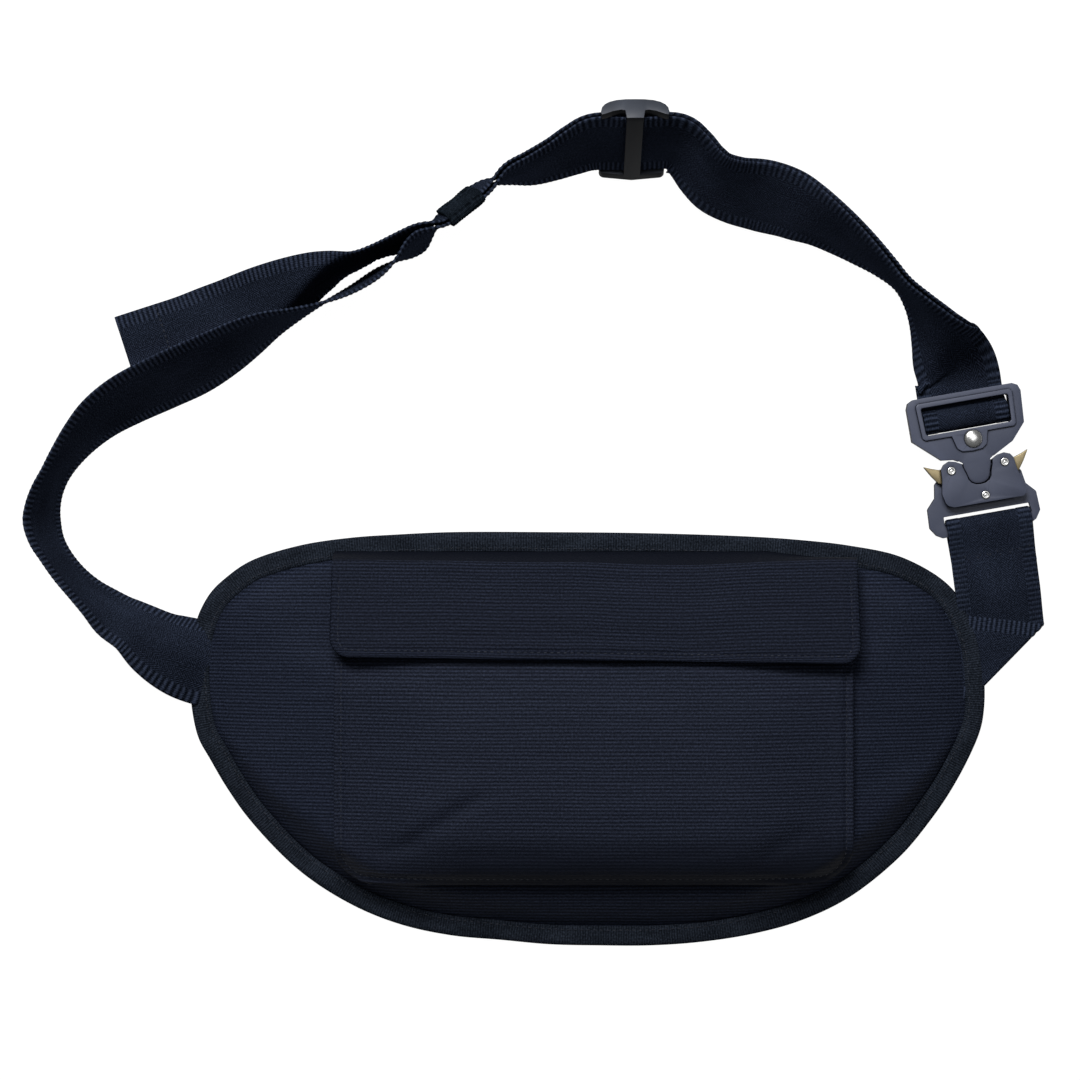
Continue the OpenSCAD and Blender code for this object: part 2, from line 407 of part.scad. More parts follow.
// local X along the belt, Y across it, Z off its face
glide_arch = concat([for (x = [-14.7, -14.2, -13, -11, -8, -4, 0, 4, 8, 11, 13, 14.2, 14.7]) [x, 1 - 6.6 * pow(1 - pow(abs(x) / 14.7, 3), 0.45)]],
    [[14.3, 2.4], [12.6, 2], [9.6, 0.7], [6, -0.1], [4.2, 0.2], [3.6, 4.2], [-3.6, 4.2], [-4.2, 0.2], [-6, -0.1], [-9.6, 0.7], [-12.6, 2], [-14.3, 2.4]]);
module tri_glide() {
    color([0.14, 0.15, 0.17]) at_glide() {
        // end bars: a broad arched one above, a slim one with round ends below
        translate([0, 21.6, 0]) rotate([90, 0, 0]) linear_extrude(3.6, center = true) polygon(glide_arch);
        translate([0, -21.6, 0]) rotate([90, 0, 0]) linear_extrude(3.6, center = true) hull() { translate([-12, -0.4]) circle(2.6); translate([12, -0.4]) circle(2.6); translate([0, 0.9]) circle(2.6); }
        for (s = [-1, 1]) {
            // side bars behind the belt
            translate([s * 10.6, 0, -3.6]) rotate([90, 0, 0]) cylinder(h = 41, r = 1.3, center = true);
        }
        // centre bar in front of the belt
        translate([-3.6, -20.2, 2.4]) cube([7.2, 40.4, 1.8]);
    }
}
module at_keeper() {
    a = atan2(4, 5);
    translate([-55.4, 234.68, 2.1 + web_w / 2 * sin(100)]) rotate([0, 0, a]) rotate([100, 0, 0]) children();
}
module keeper() {
    color([0.05, 0.06, 0.08]) at_keeper() rotate([0, 90, 0]) linear_extrude(18, center = true) difference() {
        translate([web_gap / 2 - 3.5, -20.4]) square([7, 40.8]);
        translate([web_gap / 2 - 2.5, -19.3]) square([5, 38.6]);
    }
}

back_panel();
back_padding();
lining();
front_panel();
binding();
zip_tape_upper();
zip_tape_lower();
zip_teeth_upper();
zip_teeth_lower();
zip_stops();
zip_slider();
zip_puller();
pocket_panel();
pocket_gusset();
pocket_hem();
pocket_hook_pads();
flap_riser();
flap_outer();
flap_lining();
flap_loop_pads();
strap_main();
strap_return();
strap_flex();
strap_end_loop();
strap_stub();
tri_glide();
keeper();
male_plate();
male_bezel();
male_bar();
dome_rivet();
base_plate();
cover_plate();
lever_left();
lever_right();
lever_springs();
buckle_rivets();
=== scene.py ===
import math
import bpy
import bmesh
import numpy as np
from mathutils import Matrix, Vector

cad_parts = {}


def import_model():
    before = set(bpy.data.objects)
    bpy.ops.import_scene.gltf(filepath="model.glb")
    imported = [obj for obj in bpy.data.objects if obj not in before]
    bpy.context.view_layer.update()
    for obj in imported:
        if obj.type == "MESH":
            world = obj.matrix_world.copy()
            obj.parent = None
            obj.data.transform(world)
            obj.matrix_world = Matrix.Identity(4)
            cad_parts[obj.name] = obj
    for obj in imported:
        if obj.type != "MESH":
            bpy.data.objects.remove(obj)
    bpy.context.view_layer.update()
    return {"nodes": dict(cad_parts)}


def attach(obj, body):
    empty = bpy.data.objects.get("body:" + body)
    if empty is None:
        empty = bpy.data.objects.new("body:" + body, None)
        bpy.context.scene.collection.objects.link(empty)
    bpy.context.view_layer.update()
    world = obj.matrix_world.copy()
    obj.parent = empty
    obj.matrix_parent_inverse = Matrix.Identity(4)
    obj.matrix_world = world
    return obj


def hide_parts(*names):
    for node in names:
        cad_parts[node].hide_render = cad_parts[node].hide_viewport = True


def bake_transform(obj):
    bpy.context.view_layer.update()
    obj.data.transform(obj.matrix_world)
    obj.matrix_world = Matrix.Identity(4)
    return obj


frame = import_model()
PI = math.pi

# =====================================================================
# small geometry kit; everything here is in millimetres until mesh()
# =====================================================================


def unit(v):
    v = np.asarray(v, float)
    return v / np.maximum(np.linalg.norm(v, axis=-1, keepdims=True), 1e-12)


def sstep(a, b, v):
    t = np.clip((np.asarray(v, float) - a) / (b - a), 0, 1)
    return t * t * (3 - 2 * t)


def gauss(v, w):
    return np.exp(-(np.asarray(v, float) / w) ** 2)


def smooth_lookup(table):
    """Monotone cubic through the table's points."""
    X = np.array([p[0] for p in table], float)
    Y = np.array([p[1] for p in table], float)
    h = np.diff(X)
    d = np.diff(Y) / h
    m = np.zeros(len(X))
    for i in range(1, len(X) - 1):
        if d[i - 1] * d[i] > 0:
            m[i] = 2 * d[i - 1] * d[i] / (d[i - 1] + d[i])
    m[0], m[-1] = d[0], d[-1]

    def f(v):
        v = np.clip(np.asarray(v, float), X[0], X[-1])
        i = np.clip(np.searchsorted(X, v) - 1, 0, len(h) - 1)
        t = (v - X[i]) / h[i]
        return ((2 * t**3 - 3 * t**2 + 1) * Y[i] + (t**3 - 2 * t**2 + t) * h[i] * m[i]
                + (-2 * t**3 + 3 * t**2) * Y[i + 1] + (t**3 - t**2) * h[i] * m[i + 1])

    return f


def soft_min(values, k):
    return -k * np.log(sum(np.exp(-np.asarray(v, float) / k) for v in values))


def catmull(P, step, closed=False):
    """Points along a centripetal-like curve through P, about step apart in the first two or three coordinates."""
    P = np.asarray(P, float)
    n = len(P)
    out = []
    for i in range(n if closed else n - 1):
        p0 = P[(i - 1) % n] if closed or i > 0 else 2 * P[0] - P[1]
        p1 = P[i]
        p2 = P[(i + 1) % n]
        p3 = P[(i + 2) % n] if closed or i + 2 < n else 2 * P[-1] - P[-2]
        d01, d12, d23 = (max(np.linalg.norm((b - a)[:2]), 1e-6) ** 0.5 for a, b in ((p0, p1), (p1, p2), (p2, p3)))
        m1 = (p1 - p0) / d01 - (p2 - p0) / (d01 + d12) + (p2 - p1) / d12
        m2 = (p2 - p1) / d12 - (p3 - p1) / (d12 + d23) + (p3 - p2) / d23
        m1, m2 = m1 * d12, m2 * d12
        k = max(2, int(math.ceil(np.linalg.norm((p2 - p1)[:2]) / step)))
        for t in np.arange(k) / k:
            out.append((2 * t**3 - 3 * t**2 + 1) * p1 + (t**3 - 2 * t**2 + t) * m1 + (-2 * t**3 + 3 * t**2) * p2 + (t**3 - t**2) * m2)
    if not closed:
        out.append(P[-1])
    return np.array(out)


def resample(P, step, closed=False):
    Q = np.vstack([P, P[:1]]) if closed else np.asarray(P, float)
    s = np.concatenate([[0], np.cumsum(np.linalg.norm(np.diff(Q[:, :2], axis=0), axis=1))])
    n = max(2, int(round(s[-1] / step)))
    t = np.arange(n) * s[-1] / n if closed else np.linspace(0, s[-1], n + 1)
    return np.stack([np.interp(t, s, Q[:, k]) for k in range(Q.shape[1])], 1), t


def value_noise(x, y, seed, scale):
    """Smooth repeatable noise, -1 to 1, from a hashed lattice."""
    x = np.asarray(x, float) / scale
    y = np.asarray(y, float) / scale
    xi, yi = np.floor(x).astype(int), np.floor(y).astype(int)
    fx, fy = x - xi, y - yi
    fx, fy = fx * fx * (3 - 2 * fx), fy * fy * (3 - 2 * fy)

    def h(a, b):
        v = np.sin(a * 127.1 + b * 311.7 + seed * 74.7) * 43758.5453
        return (v - np.floor(v)) * 2 - 1

    return ((h(xi, yi) * (1 - fx) + h(xi + 1, yi) * fx) * (1 - fy) + (h(xi, yi + 1) * (1 - fx) + h(xi + 1, yi + 1) * fx) * fy)


def mesh(name, V, F, uv=None, smooth=True):
    me = bpy.data.meshes.new(name)
    me.from_pydata((np.asarray(V, float) * 0.001).tolist(), [], [[int(i) for i in f] for f in F])
    me.validate()
    if uv is not None:
        layer = me.uv_layers.new(name="fab")
        idx = np.zeros(len(me.loops), int)
        me.loops.foreach_get("vertex_index", idx)
        layer.data.foreach_set("uv", (np.asarray(uv, float)[idx] * 0.001).astype(np.float32).ravel())
    me.polygons.foreach_set("use_smooth", np.full(len(me.polygons), smooth))
    me.update()
    o = bpy.data.objects.new(name, me)
    bpy.context.scene.collection.objects.link(o)
    return o


def grid_faces(m, n, wrap_i=False, wrap_j=False, o=0, flip=False):
    I = np.arange(m if wrap_i else m - 1)
    J = np.arange(n if wrap_j else n - 1)
    i, j = np.meshgrid(I, J, indexing="ij")
    i2, j2 = (i + 1) % m, (j + 1) % n
    q = np.stack([i * n + j, i2 * n + j, i2 * n + j2, i * n + j2], -1).reshape(-1, 4) + o
    return (q[:, ::-1] if flip else q).tolist()


def grid_normals(P):
    du = np.gradient(P, axis=0)
    dv = np.gradient(P, axis=1)
    return unit(np.cross(du, dv))


def shell(name, top, bot, uv, cap=True, wrap_j=False):
    """Closed sheet between two grids of points of the same size. Rows run along i; the top's normal is d/di x d/dj."""
    m, n = top.shape[:2]
    o = m * n
    F = grid_faces(m, n, wrap_j=wrap_j) + grid_faces(m, n, wrap_j=wrap_j, o=o, flip=True)
    js = range(n if wrap_j else n - 1)
    for j in js:
        k = (j + 1) % n
        F.append([j, k, o + k, o + j])
        a = (m - 1) * n
        F.append([a + k, a + j, o + a + j, o + a + k])
    if not wrap_j:
        for i in range(m - 1):
            a, b = i * n, (i + 1) * n
            F.append([b, a, o + a, o + b])
            a, b = a + n - 1, b + n - 1
            F.append([a, b, o + b, o + a])
    V = np.concatenate([top.reshape(-1, 3), bot.reshape(-1, 3)])
    U = np.concatenate([uv.reshape(-1, 2)] * 2)
    ob = mesh(name, V, F, U)
    bm = bmesh.new()
    bm.from_mesh(ob.data)
    bmesh.ops.recalc_face_normals(bm, faces=bm.faces)
    bm.to_mesh(ob.data)
    bm.free()
    return ob


def skin(name, P, uv, t, up=(0, 0, 1)):
    """Sheet of thickness t below the grid P, measured along its normals."""
    N = grid_normals(P)
    if np.mean(N @ np.array(up, float)) < 0:
        N = -N
    return shell(name, P, P - N * (np.asarray(t)[..., None] if np.ndim(t) else t), uv)


def lathe(profile, n=40):
    """Profile of (r, z) from the axis outwards, turned about Z."""
    V, F = [], []
    m = len(profile)
    for r, z in profile:
        for k in range(n):
            a = 2 * PI * k / n
            V.append([r * math.cos(a), r * math.sin(a), z])
    for i in range(m - 1):
        for k in range(n):
            F.append([i * n + k, i * n + (k + 1) % n, (i + 1) * n + (k + 1) % n, (i + 1) * n + k])
    F.append([k for k in range(n - 1, -1, -1)])
    F.append([(m - 1) * n + k for k in range(n)])
    return np.array(V, float), F


def join_parts(parts):
    V, F, o = [], [], 0
    for v, f in parts:
        V.append(np.asarray(v, float))
        F += [[i + o for i in q] for q in f]
        o += len(v)
    return np.concatenate(V), F


def recalc(ob, merge=0.0):
    bm = bmesh.new()
    bm.from_mesh(ob.data)
    if merge:
        bmesh.ops.remove_doubles(bm, verts=bm.verts, dist=merge)
    bmesh.ops.recalc_face_normals(bm, faces=bm.faces)
    bm.to_mesh(ob.data)
    bm.free()
    return ob


def smooth_edges(ob, angle=38):
    """Shades smooth where neighbouring faces meet at less than the angle."""
    g = bpy.data.node_groups.get("smooth_by_angle") or None
    if g is None:
        g = bpy.data.node_groups.new("smooth_by_angle", "GeometryNodeTree")
        g.interface.new_socket("Geometry", in_out="INPUT", socket_type="NodeSocketGeometry")
        g.interface.new_socket("Geometry", in_out="OUTPUT", socket_type="NodeSocketGeometry")
        a = g.nodes.new("NodeGroupInput")
        b = g.nodes.new("NodeGroupOutput")
        f = g.nodes.new("GeometryNodeSetShadeSmooth")
        f.domain = "FACE"
        e = g.nodes.new("GeometryNodeSetShadeSmooth")
        e.domain = "EDGE"
        ang = g.nodes.new("GeometryNodeInputMeshEdgeAngle")
        cmp_ = g.nodes.new("FunctionNodeCompare")
        cmp_.data_type = "FLOAT"
        cmp_.operation = "LESS_THAN"
        cmp_.inputs[1].default_value = math.radians(angle)
        g.links.new(a.outputs[0], f.inputs[0])
        g.links.new(f.outputs[0], e.inputs[0])
        g.links.new(ang.outputs[0], cmp_.inputs[0])
        g.links.new(cmp_.outputs[0], e.inputs["Shade Smooth"])
        g.links.new(e.outputs[0], b.inputs[0])
    md = ob.modifiers.new("smooth", "NODES")
    md.node_group = g
    return ob


def bevel(ob, width, segments=3, angle=40, weld=False):
    if weld:
        w = ob.modifiers.new("weld", "WELD")
        w.merge_threshold = 0.00002
    b = ob.modifiers.new("bevel", "BEVEL")
    b.width = width * 0.001
    b.segments = segments
    b.limit_method = "ANGLE"
    b.angle_limit = math.radians(angle)
    b.use_clamp_overlap = True
    return smooth_edges(ob)


# =====================================================================
# materials: all procedural, in real-size coordinates (metres x 1000)
# =====================================================================


class Mat:
    def __init__(self, name, rough=0.6, spec=0.3, metal=0.0, sheen=0.0, sheen_tint=(1, 1, 1), sheen_rough=0.5, coat=0.0, coat_rough=0.3, aniso=0.0):
        self.m = bpy.data.materials.new(name)
        self.m.use_nodes = True
        self.t = self.m.node_tree
        self.b = self.t.nodes["Principled BSDF"]
        self.b.inputs["Roughness"].default_value = rough
        self.b.inputs["Specular IOR Level"].default_value = spec
        self.b.inputs["Metallic"].default_value = metal
        self.b.inputs["Sheen Weight"].default_value = sheen
        self.b.inputs["Sheen Roughness"].default_value = sheen_rough
        self.b.inputs["Sheen Tint"].default_value = (*sheen_tint, 1)
        self.b.inputs["Coat Weight"].default_value = coat
        self.b.inputs["Coat Roughness"].default_value = coat_rough
        self.b.inputs["Anisotropic"].default_value = aniso

    def node(self, kind, **props):
        n = self.t.nodes.new(kind)
        for k, v in props.items():
            setattr(n, k, v)
        return n

    def put(self, socket, value):
        if isinstance(value, (int, float)):
            socket.default_value = value
        elif isinstance(value, (tuple, list)):
            socket.default_value = value
        else:
            self.t.links.new(value, socket)

    def math(self, op, a, b=0.0, c=0.0):
        n = self.node("ShaderNodeMath", operation=op)
        self.put(n.inputs[0], a)
        self.put(n.inputs[1], b)
        if op in ("MULTIPLY_ADD", "WRAP"):
            self.put(n.inputs[2], c)
        return n.outputs[0]

    def uv(self):
        """(u, v) in millimetres."""
        n = self.node("ShaderNodeUVMap", uv_map="fab")
        s = self.node("ShaderNodeSeparateXYZ")
        self.t.links.new(n.outputs[0], s.inputs[0])
        return self.math("MULTIPLY", s.outputs[0], 1000.0), self.math("MULTIPLY", s.outputs[1], 1000.0)

    def pos(self, scale=1000.0):
        n = self.node("ShaderNodeTexCoord")
        m = self.node("ShaderNodeVectorMath", operation="SCALE")
        self.t.links.new(n.outputs["Object"], m.inputs[0])
        m.inputs["Scale"].default_value = scale
        return m.outputs[0]

    def vec(self, x, y, z=0.0):
        n = self.node("ShaderNodeCombineXYZ")
        self.put(n.inputs[0], x)
        self.put(n.inputs[1], y)
        self.put(n.inputs[2], z)
        return n.outputs[0]

    def noise(self, vec, scale=1.0, detail=2.0, rough=0.5):
        n = self.node("ShaderNodeTexNoise")
        self.t.links.new(vec, n.inputs["Vector"])
        n.inputs["Scale"].default_value = scale
        n.inputs["Detail"].default_value = detail
        n.inputs["Roughness"].default_value = rough
        return n.outputs["Fac"] if "Fac" in n.outputs else n.outputs[0]

    def wave(self, x, pitch, phase=0.0):
        """0 to 1 wave along x of that pitch."""
        a = self.math("MULTIPLY_ADD", x, 2 * PI / pitch, phase)
        return self.math("MULTIPLY_ADD", self.math("SINE", a), 0.5, 0.5)

    def ramp(self, fac, stops):
        n = self.node("ShaderNodeValToRGB")
        self.t.links.new(fac, n.inputs[0])
        e = n.color_ramp.elements
        while len(e) < len(stops):
            e.new(0.5)
        for i, (p, c) in enumerate(stops):
            e[i].position = p
            e[i].color = (*c, 1)
        return n.outputs[0]

    def bump(self, height, strength, distance_mm):
        n = self.node("ShaderNodeBump")
        n.inputs["Strength"].default_value = strength
        n.inputs["Distance"].default_value = distance_mm * 0.001
        self.t.links.new(height, n.inputs["Height"])
        self.t.links.new(n.outputs[0], self.b.inputs["Normal"])

    def color(self, c):
        self.put(self.b.inputs["Base Color"], c if not isinstance(c, tuple) else (*c, 1))

    def rough(self, r):
        self.t.links.new(r, self.b.inputs["Roughness"])


def tint(c, k):
    return tuple(min(1.0, x * k) for x in c)


def span(mat, x, lo, hi):
    """Maps 0..1 to lo..hi."""
    return mat.math("MULTIPLY_ADD", x, hi - lo, lo)


def ribbed_nylon(name, col, rib=0.6, weave=0.35, rib_pitch=1.6, sheen=0.0, riser_shade_from=None, slope_shade_from=None):
    """Nylon with fine uneven cross ribs (along u) and a tight weave between them."""
    k = Mat(name, rough=0.6, spec=0.02, sheen=sheen, sheen_tint=(0.6, 0.75, 1.0), sheen_rough=0.45)
    u, v = k.uv()
    drift = k.noise(k.vec(k.math("MULTIPLY", u, 0.012), k.math("MULTIPLY", v, 0.05)), 1.0, 3.0)
    v2 = k.math("MULTIPLY_ADD", drift, 1.6, v)
    ribs = k.wave(v2, rib_pitch)
    slub = k.noise(k.vec(k.math("MULTIPLY", u, 0.03), k.math("MULTIPLY", v2, 0.85)), 1.0, 3.0, 0.6)
    twill = k.math("MULTIPLY", k.wave(k.math("ADD", u, v), 0.74), k.wave(k.math("SUBTRACT", u, v), 0.74))
    fine = k.noise(k.vec(k.math("MULTIPLY", u, 1.5), k.math("MULTIPLY", v, 1.5)), 1.0, 2.0)
    h = k.math("ADD", k.math("MULTIPLY", ribs, 0.7 * rib), k.math("MULTIPLY", slub, 0.5 * rib))
    h = k.math("ADD", h, k.math("MULTIPLY", twill, weave))
    h = k.math("ADD", h, k.math("MULTIPLY", fine, 0.3 * weave))
    k.bump(h, 0.55, 0.5)
    shade = k.math("MULTIPLY_ADD", slub, 0.34, k.math("MULTIPLY", ribs, 0.42))
    shade = k.math("MULTIPLY_ADD", twill, 0.30, shade)
    speck = k.noise(k.vec(k.math("MULTIPLY", u, 1.15), k.math("MULTIPLY", v, 1.15)), 1.0, 1.0)
    shade = k.math("MULTIPLY_ADD", k.math("SUBTRACT", speck, 0.5), 0.9, shade)
    tone = k.ramp(shade, [(0.12, tint(col, 0.34)), (0.50, col), (0.95, tint(col, 2.6))])
    if riser_shade_from is not None:
        # painted shade: the strip of this piece that stands up along the top (the riser) is darkened to half its
        # colour, as if in shadow
        riser_shade_mask = k.math("GREATER_THAN", v, riser_shade_from)
        mix = k.node("ShaderNodeMix", data_type="RGBA")
        k.t.links.new(riser_shade_mask, mix.inputs["Factor"])
        k.t.links.new(tone, mix.inputs[6])
        mix.inputs[7].default_value = (*tint(col, 0.5), 1)
        tone = mix.outputs[2]
    if slope_shade_from is not None:
        # painted shade: cloth that turns down along the lower edge is darkened as if facing away from the light, weaker
        # towards the left end
        dn = k.math("MULTIPLY", k.math("SUBTRACT", slope_shade_from, v), 1 / 19.0)
        dn = k.math("MINIMUM", k.math("MAXIMUM", dn, 0.0), 1.0)
        sd = k.math("MULTIPLY", k.math("ADD", u, 112.0), 1 / 60.0)
        sd = k.math("MINIMUM", k.math("MAXIMUM", sd, 0.25), 1.0)
        mix = k.node("ShaderNodeMix", data_type="RGBA")
        k.t.links.new(k.math("MULTIPLY", k.math("MULTIPLY", dn, sd), 0.85), mix.inputs["Factor"])
        k.t.links.new(tone, mix.inputs[6])
        mix.inputs[7].default_value = (*tint(col, 0.42), 1)
        tone = mix.outputs[2]
    k.color(tone)
    k.rough(span(k, slub, 0.66, 0.46))
    return k.m


def tape_cloth(name, col, pitch=1.15, across=0.5, sheen=0.0, rough=0.62, spec=0.0):
    """Grosgrain: fine ribs across the tape (u runs along it)."""
    k = Mat(name, rough=rough, spec=spec, sheen=sheen, sheen_tint=(0.8, 0.88, 1.0))
    u, v = k.uv()
    wob = k.noise(k.vec(k.math("MULTIPLY", u, 0.08), k.math("MULTIPLY", v, 0.3)), 1.0, 2.0)
    u2 = k.math("MULTIPLY_ADD", wob, 0.8, u)
    rib = k.wave(u2, pitch)
    thr = k.wave(v, 0.62)
    cell = k.math("MULTIPLY", rib, thr)
    big = k.noise(k.vec(k.math("MULTIPLY", u, 0.06), k.math("MULTIPLY", v, 0.2)), 1.0, 3.0)
    h = k.math("ADD", k.math("MULTIPLY", rib, 0.6), k.math("MULTIPLY", cell, across))
    k.bump(h, 0.6, 0.35)
    shade = k.math("ADD", k.math("MULTIPLY", cell, 0.5), k.math("MULTIPLY", big, 0.6))
    speck = k.noise(k.vec(k.math("MULTIPLY", u, 1.2), k.math("MULTIPLY", v, 1.2)), 1.0, 1.0)
    shade = k.math("MULTIPLY_ADD", k.math("SUBTRACT", speck, 0.5), 1.1, shade)
    k.color(k.ramp(shade, [(0.15, tint(col, 0.4)), (0.45, col), (0.9, tint(col, 2.7))]))
    k.rough(span(k, big, rough + 0.1, rough - 0.08))
    return k.m


def webbing_cloth(name, col):
    """Belt webbing: fine herringbone in the middle; the edge ladder is real geometry, with thread lines here."""
    k = Mat(name, rough=0.6, spec=0.0, sheen=0.0, sheen_tint=(0.6, 0.75, 1.0), sheen_rough=0.4)
    u, v = k.uv()
    av = k.math("ABSOLUTE", v)
    edge = k.math("GREATER_THAN", av, 12.9)
    zig = k.math("PINGPONG", v, 3.2)
    a = k.wave(k.math("ADD", u, zig), 1.15)
    thr = k.wave(v, 0.7)
    mid = k.math("MULTIPLY_ADD", a, 0.7, k.math("MULTIPLY", thr, 0.4))
    lad = k.wave(u, 2.2)
    th2 = k.wave(v, 0.9)
    lad = k.math("MULTIPLY_ADD", th2, 0.35, lad)
    h = k.math("ADD", k.math("MULTIPLY", mid, k.math("SUBTRACT", 1.0, edge)), k.math("MULTIPLY", lad, edge))
    big = k.noise(k.vec(k.math("MULTIPLY", u, 0.03), k.math("MULTIPLY", v, 0.05)), 1.0, 3.0)
    fuzz = k.noise(k.vec(k.math("MULTIPLY", u, 2.0), k.math("MULTIPLY", v, 2.0)), 1.0, 2.0)
    k.bump(k.math("MULTIPLY_ADD", fuzz, 0.3, h), 0.6, 0.3)
    shade = k.math("MULTIPLY_ADD", h, 0.42, k.math("MULTIPLY", big, 0.35))
    speck = k.noise(k.vec(k.math("MULTIPLY", u, 1.25), k.math("MULTIPLY", v, 1.25)), 1.0, 1.0)
    shade = k.math("MULTIPLY_ADD", k.math("SUBTRACT", speck, 0.5), 0.8, shade)
    k.color(k.ramp(shade, [(0.15, tint(col, 0.35)), (0.42, tint(col, 1.15)), (0.8, tint(col, 3.6))]))
    k.rough(span(k, big, 0.58, 0.42))
    return k.m


def fuzzy(name, col, scale=0.9):
    k = Mat(name, rough=0.85, spec=0.12, sheen=0.2, sheen_tint=(0.8, 0.85, 1.0))
    p = k.pos()
    n1 = k.noise(p, scale, 3.0, 0.7)
    v = k.node("ShaderNodeTexVoronoi", feature="F1")
    k.t.links.new(p, v.inputs["Vector"])
    v.inputs["Scale"].default_value = scale * 1.3
    h = k.math("ADD", n1, v.outputs["Distance"])
    k.bump(h, 0.8, 0.6)
    k.color(k.ramp(n1, [(0.3, tint(col, 0.5)), (0.7, tint(col, 1.6))]))
    return k.m


def mesh_cloth(name, col, cell=3.2):
    """Air mesh: rows of small round holes."""
    k = Mat(name, rough=0.75, spec=0.16, sheen=0.1, sheen_tint=(0.8, 0.88, 1.0))
    u, v = k.uv()
    row = k.math("FLOOR", k.math("DIVIDE", v, cell * 0.86))
    uo = k.math("MULTIPLY_ADD", k.math("FLOORED_MODULO", row, 2.0), cell / 2, u)
    a = k.math("SUBTRACT", k.math("FLOORED_MODULO", uo, cell), cell / 2)
    b = k.math("SUBTRACT", k.math("FLOORED_MODULO", v, cell * 0.86), cell * 0.43)
    d = k.math("SQRT", k.math("ADD", k.math("MULTIPLY", a, a), k.math("MULTIPLY", b, b)))
    hole = k.math("MINIMUM", k.math("DIVIDE", d, cell * 0.36), 1.0)
    fine = k.noise(k.vec(u, v), 1.1, 2.0)
    k.bump(k.math("MULTIPLY_ADD", fine, 0.25, hole), 0.8, 0.7)
    k.color(k.ramp(k.math("MULTIPLY_ADD", fine, 0.3, k.math("MULTIPLY", hole, 0.8)), [(0.25, tint(col, 0.25)), (0.7, col), (1.0, tint(col, 1.6))]))
    return k.m


def plain_weave(name, col, pitch=0.55, rough=0.65):
    k = Mat(name, rough=rough, spec=0.18, sheen=0.06)
    u, v = k.uv()
    a = k.math("MULTIPLY", k.wave(u, pitch), k.wave(v, pitch))
    big = k.noise(k.vec(k.math("MULTIPLY", u, 0.05), k.math("MULTIPLY", v, 0.05)), 1.0, 3.0)
    k.bump(a, 0.5, 0.2)
    k.color(k.ramp(k.math("MULTIPLY_ADD", a, 0.5, k.math("MULTIPLY", big, 0.5)), [(0.2, tint(col, 0.6)), (0.8, tint(col, 1.5))]))
    k.rough(span(k, big, rough + 0.1, rough - 0.1))
    return k.m


def hard(name, col, rough=0.4, spec=0.5, metal=0.0, grain=0.25, scale=1.6, coat=0.0, edge=1.5, streak=False, wall_shade=-0.25):
    """Moulded or coated hard surface: fine grain, slight blotches, paler sharp convex edges, and painted shade: darker
    in crevices and on steep side walls.
    """
    k = Mat(name, rough=rough, spec=spec, metal=metal, coat=coat, coat_rough=0.25)
    p = k.pos()
    if streak:
        m = k.node("ShaderNodeMapping")
        k.t.links.new(p, m.inputs["Vector"])
        m.inputs["Scale"].default_value = (0.25, 3.0, 1.0)
        p = m.outputs[0]
    n1 = k.noise(p, scale, 4.0, 0.6)
    n2 = k.noise(p, 0.12, 3.0, 0.5)
    g = k.node("ShaderNodeNewGeometry")
    e = k.math("MULTIPLY_ADD", k.math("SUBTRACT", g.outputs["Pointiness"], 0.5), 6.0, 0.0)
    e = k.math("MAXIMUM", k.math("MINIMUM", e, 1.0), 0.0)
    s = k.math("ADD", k.math("MULTIPLY", n1, 0.35), k.math("MULTIPLY", n2, 0.35))
    s = k.math("ADD", s, k.math("MULTIPLY", e, 0.5))
    # painted shade: ambient occlusion darkens the colour and the specular in crevices and between parts
    ao = k.node("ShaderNodeAmbientOcclusion", samples=6)
    ao.inputs["Distance"].default_value = 0.0017
    painted_shade = k.math("MINIMUM", k.math("MULTIPLY_ADD", k.math("SUBTRACT", ao.outputs["AO"], 0.50), 2.6, 0.06), 1.0)
    tone = k.ramp(s, [(0.15, tint(col, 0.8)), (0.45, col), (1.0, tint(col, edge))])
    mul = k.node("ShaderNodeVectorMath", operation="SCALE")
    k.t.links.new(tone, mul.inputs[0])
    sx = k.node("ShaderNodeSeparateXYZ")
    k.t.links.new(g.outputs["Normal"], sx.inputs[0])
    # painted shade: steep side walls are darkened according to how far their normal turns from vertical; the specular
    # is lowered with the colour
    up = k.math("MINIMUM", k.math("MULTIPLY_ADD", k.math("ABSOLUTE", sx.outputs[2]), 1.35, wall_shade), 1.0)
    painted_shade = k.math("MULTIPLY", k.math("MAXIMUM", painted_shade, 0.06), k.math("MAXIMUM", up, 0.12))
    k.t.links.new(painted_shade, mul.inputs["Scale"])
    k.t.links.new(k.math("MULTIPLY", painted_shade, spec), k.b.inputs["Specular IOR Level"])
    k.color(mul.outputs[0])
    k.rough(k.math("MULTIPLY_ADD", n1, 0.22, rough - 0.11))
    k.bump(n1, grain, 0.06)
    return k.m


